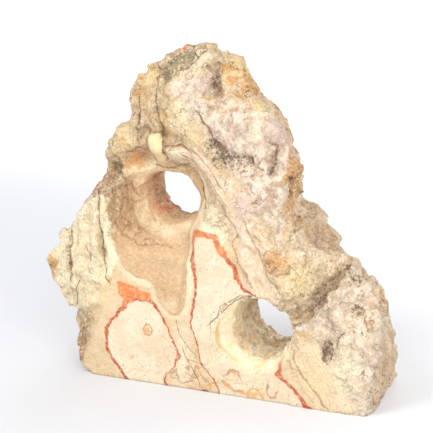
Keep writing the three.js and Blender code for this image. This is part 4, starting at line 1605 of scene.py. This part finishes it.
class StoneFinish:
    """Lays the colours of the stone over each other in one material."""

    def __init__(self, paint: StonePaint) -> None:
        """Makes the mottling and reads the marks that several colours need.

        Args:
            paint: Colours of the stone.
        """
        self.paint = paint
        self.sheet = NodeSheet("veined_stone")
        self.broad = self.sheet.mottle(16, 3, 0.38, 0.62)
        self.patch = self.sheet.mottle(5, 6, 0.43, 0.59, 3.0)
        self.fine = self.sheet.mottle(1.5, 4, 0.4, 0.62, 7.0)
        self.front = self.sheet.mark(Mark.FRONT)
        self.rough = self.sheet.mark(Mark.ROUGH)
        self.colour: Input = BLACK

    def lay(self, tone: Input, share: Input, strength: float | None = None) -> None:
        """Lays one more colour over what is there.

        Args:
            tone: The colour.
            share: How much of it shows.
            strength: What that share is multiplied by, if anything.
        """
        self.colour = self.sheet.blend(self.colour, tone, share, strength)

    def on_front(self, share: Input) -> Socket:
        """Keeps a share to the front of the stone."""
        return self.sheet.times(share, self.front)

    def build(self) -> bpy.types.Material:
        """Lays out the material of the stone.

        Returns:
            The material.
        """
        self.add_sides()
        self.lay(self.sheet.blend(*self.paint.matrix, self.broad), self.front)
        self.add_front_areas()
        self.add_soft_tones()
        self.add_hollow()
        self.add_cells()
        self.add_panel_lines()
        self.add_hole_walls()
        self.add_stains()
        self.lay(self.paint.nub, self.on_front(self.sheet.step(self.sheet.mark(Mark.NUB), 0.3, -0.8)), 0.7)
        self.add_dark_marks()
        # Painted shade in the low places between chips.
        self.add_low_shade()
        self.add_small_marks()
        # Darkens all but the lower hole's wall a little, so that the painted light on that wall stays
        # bright.
        outside_tunnel_light = self.sheet.maths("SUBTRACT", 1.0, self.sheet.mark(Mark.PAINTED_TUNNEL_LIGHT))
        self.lay(BLACK, outside_tunnel_light, 1 - self.paint.share)
        dullness = self.sheet.plus(self.sheet.times(self.fine, 0.2), 0.7)
        return self.sheet.finish(self.colour, dullness, self.bumps())

    def add_sides(self) -> None:
        """Adds the back and the sides, with crusts, pale patches and dull patches."""
        sheet, paint = self.sheet, self.paint
        self.colour = sheet.blend(*paint.side, sheet.mottle(22, 4, 0.42, 0.66, 5.0))
        self.lay(paint.brown, sheet.mottle(9, 4, 0.56, 0.7, 9.0), 0.6)
        self.lay(paint.shoulder, sheet.mottle(26, 4, 0.48, 0.62, 12.0), 0.75)
        self.lay(paint.pink, sheet.mottle(18, 4, 0.54, 0.66, 14.0), 0.6)

    def add_front_areas(self) -> None:
        """Adds the large areas of the front, each with its own mottling."""
        sheet, paint = self.sheet, self.paint
        streaks = sheet.mottle(3.2, 3, 0.5, 0.72, 2.0, (1, 0.3, 0.1))
        folds = sheet.mottle(5, 2, 0.42, 0.64, 4.0, (0.5, 1, 1))
        grains = sheet.mottle(2.2, 5, 0.46, 0.58, 6.0)
        for mark, soft, tones, mottle in (
            (Mark.FLANK, 1.5, paint.flank, streaks),
            (Mark.SHOULDER, 2.5, (paint.shoulder, paint.shoulder_dark), grains),
            (Mark.LOBE, 1.0, paint.lobe, self.patch),
            (Mark.SHELL, 0.8, paint.shell, self.rings(Mark.SHELL, 2.2)),
            (Mark.MASS, 2.5, paint.mass, self.patch),
            (Mark.BAND, 1.2, paint.band, folds),
        ):
            self.lay(sheet.blend(*tones, mottle), self.on_front(sheet.step(sheet.mark(mark), soft, -soft)))

    def rings(self, mark: Mark, spacing: float) -> Socket:
        """Gives bands that follow the edge of a region.

        Args:
            mark: The region.
            spacing: How many millimetres apart they are.

        Returns:
            The bands.
        """
        sheet = self.sheet
        stray = sheet.times(sheet.grain(8, 2, 17.0), 3.0)
        turns = sheet.times(sheet.plus(sheet.mark(mark), stray), 2 * math.pi / spacing)
        return sheet.times(sheet.step(sheet.maths("SINE", turns), -0.4, 1.2), 0.5)

    def add_soft_tones(self) -> None:
        """Adds the soft cream, yellow and pink areas."""
        sheet, paint = self.sheet, self.paint
        uneven = sheet.times(sheet.maths("SUBTRACT", self.fine, 0.5), 0.3)
        for mark, tone in ((Mark.CREAM, paint.cream), (Mark.GOLD, paint.gold), (Mark.PINK, paint.pink)):
            self.lay(tone, sheet.step(sheet.plus(sheet.mark(mark), uneven), 0.05, 0.9), 0.85)

    def add_hollow(self) -> None:
        """Adds the tan bowl and tongue with their pale rim and thin darker edge."""
        sheet, paint = self.sheet, self.paint
        off = sheet.plus(sheet.mark(Mark.HOLLOW), sheet.stray(3, 3, 1.6, 19.0))
        self.lay(paint.cream, sheet.times(sheet.step(off, 4.0, 2.2), sheet.times(self.front, 0.35)))
        tone = sheet.blend(*paint.hollow, self.broad)
        tone = sheet.blend(tone, paint.cream, sheet.mark(Mark.LIP), 0.6)
        self.lay(tone, self.on_front(sheet.step(off, 0.4, -0.4)))
        self.lay(paint.brown, self.on_front(sheet.step(sheet.size_of(off), 0.7, 0.1)), 0.45)

    def add_cells(self) -> None:
        """Adds the pale cells and their red veins."""
        sheet, paint = self.sheet, self.paint
        cell = sheet.plus(sheet.mark(Mark.CELL), self.panel_stray())
        self.lay(sheet.blend(*paint.cell, self.broad), self.on_front(sheet.step(cell, 0.3, -0.5)))
        width = sheet.mark(Mark.VEIN)
        off = sheet.maths("DIVIDE", sheet.size_of(cell), width)
        tone = sheet.blend(paint.vein, paint.vein_wide, sheet.step(width, 1.1, 2.1))
        tone = sheet.blend(tone, paint.vein_edge, self.speckles(), 0.6)
        self.lay(paint.vein_edge, self.on_front(sheet.step(off, 1.7, 1.0)), 0.35)
        self.lay(tone, self.on_front(sheet.step(off, 1.15, 0.85)))

    def add_panel_lines(self) -> None:
        """Adds the orange patch and the thin yellow and brown lines."""
        sheet, paint = self.sheet, self.paint
        patch = sheet.step(sheet.plus(sheet.mark(Mark.PATCH), self.panel_stray()), 0.6, -0.6)
        self.lay(sheet.blend(paint.vein_wide, paint.vein_edge, self.speckles()), self.on_front(patch))
        for mark, tone, outer, inner, strength in (
            (Mark.YELLOW, paint.yellow, 2.0, 0.6, 0.8),
            (Mark.BROWN_LINE, paint.brown_line, 2.2, 0.4, 0.75),
        ):
            away = sheet.size_of(sheet.plus(sheet.mark(mark), self.panel_stray()))
            self.lay(tone, sheet.times(sheet.step(away, outer, inner), sheet.times(self.front, strength)))

    def panel_stray(self) -> Socket:
        """Gives the stray of the panel's lines."""
        return self.sheet.stray(2.4, 4, 2.4, 21.0)

    def speckles(self) -> Socket:
        """Gives the paler specks of the red veins."""
        return self.sheet.mottle(1.1, 2, 0.5, 0.68, 23.0)

    def add_hole_walls(self) -> None:
        """Adds the streaked walls of the two holes: the lower hole's wall near white as painted light, and
        the upper hole's wall with the far end of the lower one in darker tan as painted shade.
        """
        streaks = self.sheet.mottle(3, 3, 0.42, 0.62, 8.0, (1, 0.2, 1))
        for mark, tones in ((Mark.PAINTED_TUNNEL_LIGHT, self.paint.painted_tunnel_light), (Mark.HOLE_SHADE, self.paint.deep)):
            self.lay(self.sheet.blend(*tones, streaks), self.sheet.mark(mark), 0.85)

    def add_stains(self) -> None:
        """Adds the ochre patches, the brown crusts, the red specks and the olive streak."""
        sheet, paint = self.sheet, self.paint
        broken = sheet.plus(sheet.times(self.patch, 0.5), sheet.times(self.fine, 0.25))
        for mark, tone in (
            (Mark.OCHRE, paint.ochre),
            (Mark.BROWN, sheet.blend(paint.brown, paint.brown_dark, self.fine)),
            (Mark.RED, paint.vein_wide),
        ):
            amount = sheet.plus(sheet.mark(mark), sheet.maths("SUBTRACT", broken, 0.38))
            self.lay(tone, sheet.step(amount, 0.3, 0.85), 0.85)
        ragged = sheet.plus(sheet.mark(Mark.OLIVE), sheet.times(broken, 4.0))
        self.lay(paint.olive, sheet.step(ragged, 2.2, 0.6), 0.85)

    def add_dark_marks(self) -> None:
        """Adds the dark specks and the cracks."""
        sheet, paint = self.sheet, self.paint
        soot = sheet.mark(Mark.SOOT)
        self.lay(paint.soot, sheet.step(soot, 0.3, 1.3), 0.42)
        speck = sheet.plus(sheet.grain(1.9, 3, 31.0), sheet.times(soot, 0.16))
        self.lay(paint.soot, sheet.times(sheet.step(speck, 0.57, 0.65), sheet.step(soot, 0.15, 0.4)), 0.9)
        off = sheet.size_of(sheet.plus(sheet.mark(Mark.CRACK), sheet.stray(1.6, 2, 1.6, 33.0)))
        self.lay(paint.crack, sheet.times(sheet.step(off, 1.3, 0.5), sheet.mark(Mark.CRACK_SHARE)), 0.82)

    def add_low_shade(self) -> None:
        """Adds painted shade: brown in the low places between chips, where the relief sinks in."""
        low_shade = self.sheet.times(self.sheet.step(self.sheet.mark(Mark.LOW), 0.4, 1.6), 0.3)
        self.lay(self.paint.brown, self.sheet.times(low_shade, self.rough))

    def add_small_marks(self) -> None:
        """Adds hair cracks, darker grains and paler grains."""
        sheet, paint, rough = self.sheet, self.paint, self.rough
        off_flank = sheet.times(sheet.step(sheet.mark(Mark.FLANK), 0.0, 3.0), rough)
        for tone, size, edge_shift, thin, broken, strength in (
            (paint.crack, 7, 41.0, 0.06, sheet.mottle(7, 2, 0.48, 0.6, 43.0), 0.7),
            (paint.brown_dark, 3.2, 51.0, 0.1, sheet.mottle(3.5, 2, 0.5, 0.6, 53.0), 0.5),
        ):
            edge = sheet.step(sheet.shards(size, True, edge_shift), thin, 0.0)
            self.lay(tone, sheet.times(sheet.times(edge, broken), sheet.times(off_flank, strength)))
        some = sheet.times(sheet.mottle(14, 2, 0.4, 0.6, 46.0), 0.65)
        self.lay(paint.brown_dark, sheet.times(sheet.mottle(1.3, 3, 0.6, 0.67, 45.0), some))
        pale = sheet.plus(sheet.times(rough, 0.45), 0.25)
        self.lay(paint.cream, sheet.times(sheet.mottle(1.7, 2, 0.56, 0.66, 47.0), pale))
        self.lay(paint.shoulder_dark, sheet.mottle(2.2, 5, 0.47, 0.62, 49.0), 0.35)
        flecks = sheet.plus(sheet.times(rough, 0.22), 0.16)
        self.lay(paint.brown, sheet.times(sheet.mottle(1.1, 2, 0.5, 0.66, 55.0), flecks))
        self.lay(paint.brown, sheet.times(sheet.times(self.fine, 0.12), rough))

    def bumps(self) -> Sequence[tuple[Socket, float]]:
        """Gives the fine bumps that are too small for the mesh.

        Returns:
            Heights from 0 to 1, each with what 1 is in millimetres.
        """
        sheet, rough = self.sheet, self.rough
        return (
            (sheet.times(sheet.shards(4), rough), 2.4),
            (sheet.times(sheet.shards(2, shift=15.0), rough), 1.3),
            (sheet.times(sheet.grain(1.4, 4, 11.0), rough), 0.9),
            (sheet.grain(0.7, 3, 13.0), 0.2),
        )


@dataclass(frozen=True)
class FloorFinish:
    """Pale paper under the stone, with painted light: it glows more the further it lies from a place left
    of the stone, so it goes to white further away and stays darker near the stone as a painted shade.

    Attributes:
        near: Its colour near the stone.
        glow_round: Place that its glow is furthest from, in metres.
        glow_from: Distance from that place at which it starts to glow.
        glow_to: Distance at which it glows in full.
        glow: Strength of the full glow.
    """

    near: Colour = seen(210, 211, 215)
    glow_round: Triple = (-0.3, 0.1, 0.0)
    glow_from: float = 0.15
    glow_to: float = 0.9
    glow: float = 0.5

    def build(self) -> bpy.types.Material:
        """Lays out the material of the floor.

        Returns:
            The material.
        """
        sheet = NodeSheet("pale_paper")
        # Painted light: the glow grows with distance from glow_round, leaving painted shade near the stone.
        off = sheet.vector("SUBTRACT", sheet.place, self.glow_round)
        away = sheet.step(sheet.vector("LENGTH", off, output="Value"), self.glow_from, self.glow_to)
        return sheet.finish(self.near, 0.9, glow=(WHITE, sheet.times(away, self.glow)))


# The stone and the studio


@dataclass(frozen=True)
class Rock:
    """The whole stone as one finely worked piece.

    Attributes:
        form: Its shape.
        net: How that shape is turned into a mesh.
        skin: Its small relief and its markings.
        paint: Its colours.
        still_base: Height over which the small relief fades in above the flat base.
    """

    form: StoneForm = field(default_factory=StoneForm)
    net: SurfaceNet = field(default_factory=SurfaceNet)
    skin: StoneSkin = field(default_factory=StoneSkin)
    paint: StonePaint = field(default_factory=StonePaint)
    still_base: float = 3.0

    def build(self) -> bpy.types.Object:
        """Makes the stone's mesh, with its relief, its markings and its material.

        Returns:
            The finished piece.
        """
        points, faces = self.net.draw(self.form)
        mesh = bpy.data.meshes.new("rock_surface")
        mesh.from_pydata((points * METRE).tolist(), [], faces.tolist())
        mesh.update()
        normals = np.zeros(len(points) * 3)
        mesh.vertex_normals.foreach_get("vector", normals)
        marks = self.skin.marks(self.form, points)
        height = self.skin.height(points, marks) * ease(0.0, self.still_base, points[:, 2])
        marks[Mark.LOW] = np.clip(-height, -1, 2)
        worked = points + normals.reshape(-1, 3) * height[:, None]
        worked[:, 2] = np.maximum(worked[:, 2], 0)
        worked[:, :2] -= FORM_MIDDLE
        mesh.vertices.foreach_set("co", (worked * METRE).ravel())
        for mark, values in marks.items():
            layer = mesh.attributes.new(mark.value, "FLOAT", "POINT")
            layer.data.foreach_set("value", values.astype(np.float32))
        mesh.polygons.foreach_set("use_smooth", np.ones(len(mesh.polygons), dtype=bool))
        mesh.materials.append(StoneFinish(self.paint).build())
        mesh.update()
        piece = bpy.data.objects.new("rock_surface", mesh)
        bpy.context.scene.collection.objects.link(piece)
        return piece


@dataclass(frozen=True)
class Lamp:
    """One large soft lamp that faces the stone.

    Attributes:
        name: Its name.
        at: Its place in metres.
        size: Width of its square face in metres.
        power: Its power in watts.
    """

    name: str
    at: Triple
    size: float
    power: float


@dataclass(frozen=True)
class Studio:
    """Pale floor, soft light and the camera.

    Attributes:
        azimuth: Direction of the camera, in degrees, as the stone's front faces minus Y.
        elevation: Height of the camera, in degrees.
        distance: How far the camera stands from what it looks at, in metres.
        lens: Focal length in millimetres on the sensor below.
        sensor: Width of the camera's sensor in millimetres.
        target: Place that the camera looks at, in metres.
        floor_radius: Radius of the round floor in metres.
        floor_sides: How many sides its outline has.
        sky: Strength of the even light that fills the room.
        lamps: The lamps.
        lit: Place that they face, in metres.
    """

    azimuth: float = 22.5
    elevation: float = 14.5
    distance: float = 0.76
    lens: float = 110.0
    sensor: float = 36.0
    target: Triple = (-0.00299, -0.00133, 0.0956)
    floor_radius: float = 8.0
    floor_sides: int = 64
    sky: float = 0.74
    lamps: Sequence[Lamp] = (
        Lamp("key", (-0.6, -0.95, 1.25), 0.7, 13.2),
        Lamp("fill", (0.9, -1.1, 0.7), 1.0, 12.4),
        Lamp("back", (0.1, 1.2, 0.35), 1.0, 12.5),
    )
    lit: Triple = (0, 0, 0.09)

    def build(self) -> None:
        """Makes the floor, the lights and the camera."""
        self.make_floor()
        self.make_sky()
        for lamp in self.lamps:
            self.add_light(lamp)
        self.make_camera()

    def make_floor(self) -> None:
        """Makes a round floor under the stone."""
        mesh = bpy.data.meshes.new("floor")
        turns = [2 * math.pi * side / self.floor_sides for side in range(self.floor_sides)]
        rim = [(self.floor_radius * math.cos(t), self.floor_radius * math.sin(t), 0) for t in turns]
        mesh.from_pydata(rim, [], [tuple(range(self.floor_sides))])
        mesh.materials.append(FloorFinish().build())
        floor = bpy.data.objects.new("floor", mesh)
        bpy.context.scene.collection.objects.link(floor)

    def make_sky(self) -> None:
        """Fills the room with even light."""
        world = bpy.data.worlds.new("studio")
        world.use_nodes = True
        background = world.node_tree.nodes["Background"]
        background.inputs["Color"].default_value = (*WHITE, 1.0)
        background.inputs["Strength"].default_value = self.sky
        bpy.context.scene.world = world

    def add_light(self, lamp: Lamp) -> None:
        """Adds one lamp that faces the stone.

        Args:
            lamp: The lamp.
        """
        area = bpy.data.lights.new(lamp.name, "AREA")
        area.size = lamp.size
        area.energy = lamp.power
        light = bpy.data.objects.new(lamp.name, area)
        toward = mathutils.Vector(self.lit) - mathutils.Vector(lamp.at)
        light.rotation_euler = toward.to_track_quat("-Z", "Y").to_euler()
        light.location = lamp.at
        bpy.context.scene.collection.objects.link(light)

    def make_camera(self) -> None:
        """Puts the camera at the viewing angle of the photograph."""
        turn, rise = math.radians(self.azimuth), math.radians(self.elevation)
        level = math.cos(rise)
        back = mathutils.Vector((math.sin(turn) * level, -math.cos(turn) * level, math.sin(rise)))
        lens = bpy.data.cameras.new("camera")
        lens.lens = self.lens
        lens.sensor_width = self.sensor
        camera = bpy.data.objects.new("camera", lens)
        camera.location = mathutils.Vector(self.target) + back * self.distance
        camera.rotation_euler = (-back).to_track_quat("-Z", "Y").to_euler()
        bpy.context.scene.collection.objects.link(camera)
        bpy.context.scene.camera = camera
        bpy.context.scene.view_settings.view_transform = "Standard"


def main() -> None:
    """Builds the stone and its studio."""
    logging.basicConfig(level=logging.INFO, format="%(name)s: %(message)s")
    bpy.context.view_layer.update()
    rock = Rock().build()
    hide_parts("rock")
    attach(rock, "root")
    LOG.info("rock_surface: %d points, %d faces", len(rock.data.vertices), len(rock.data.polygons))
    Studio().build()
    LOG.info("studio: floor, soft lights and camera")


if __name__ == "__main__":
    main()
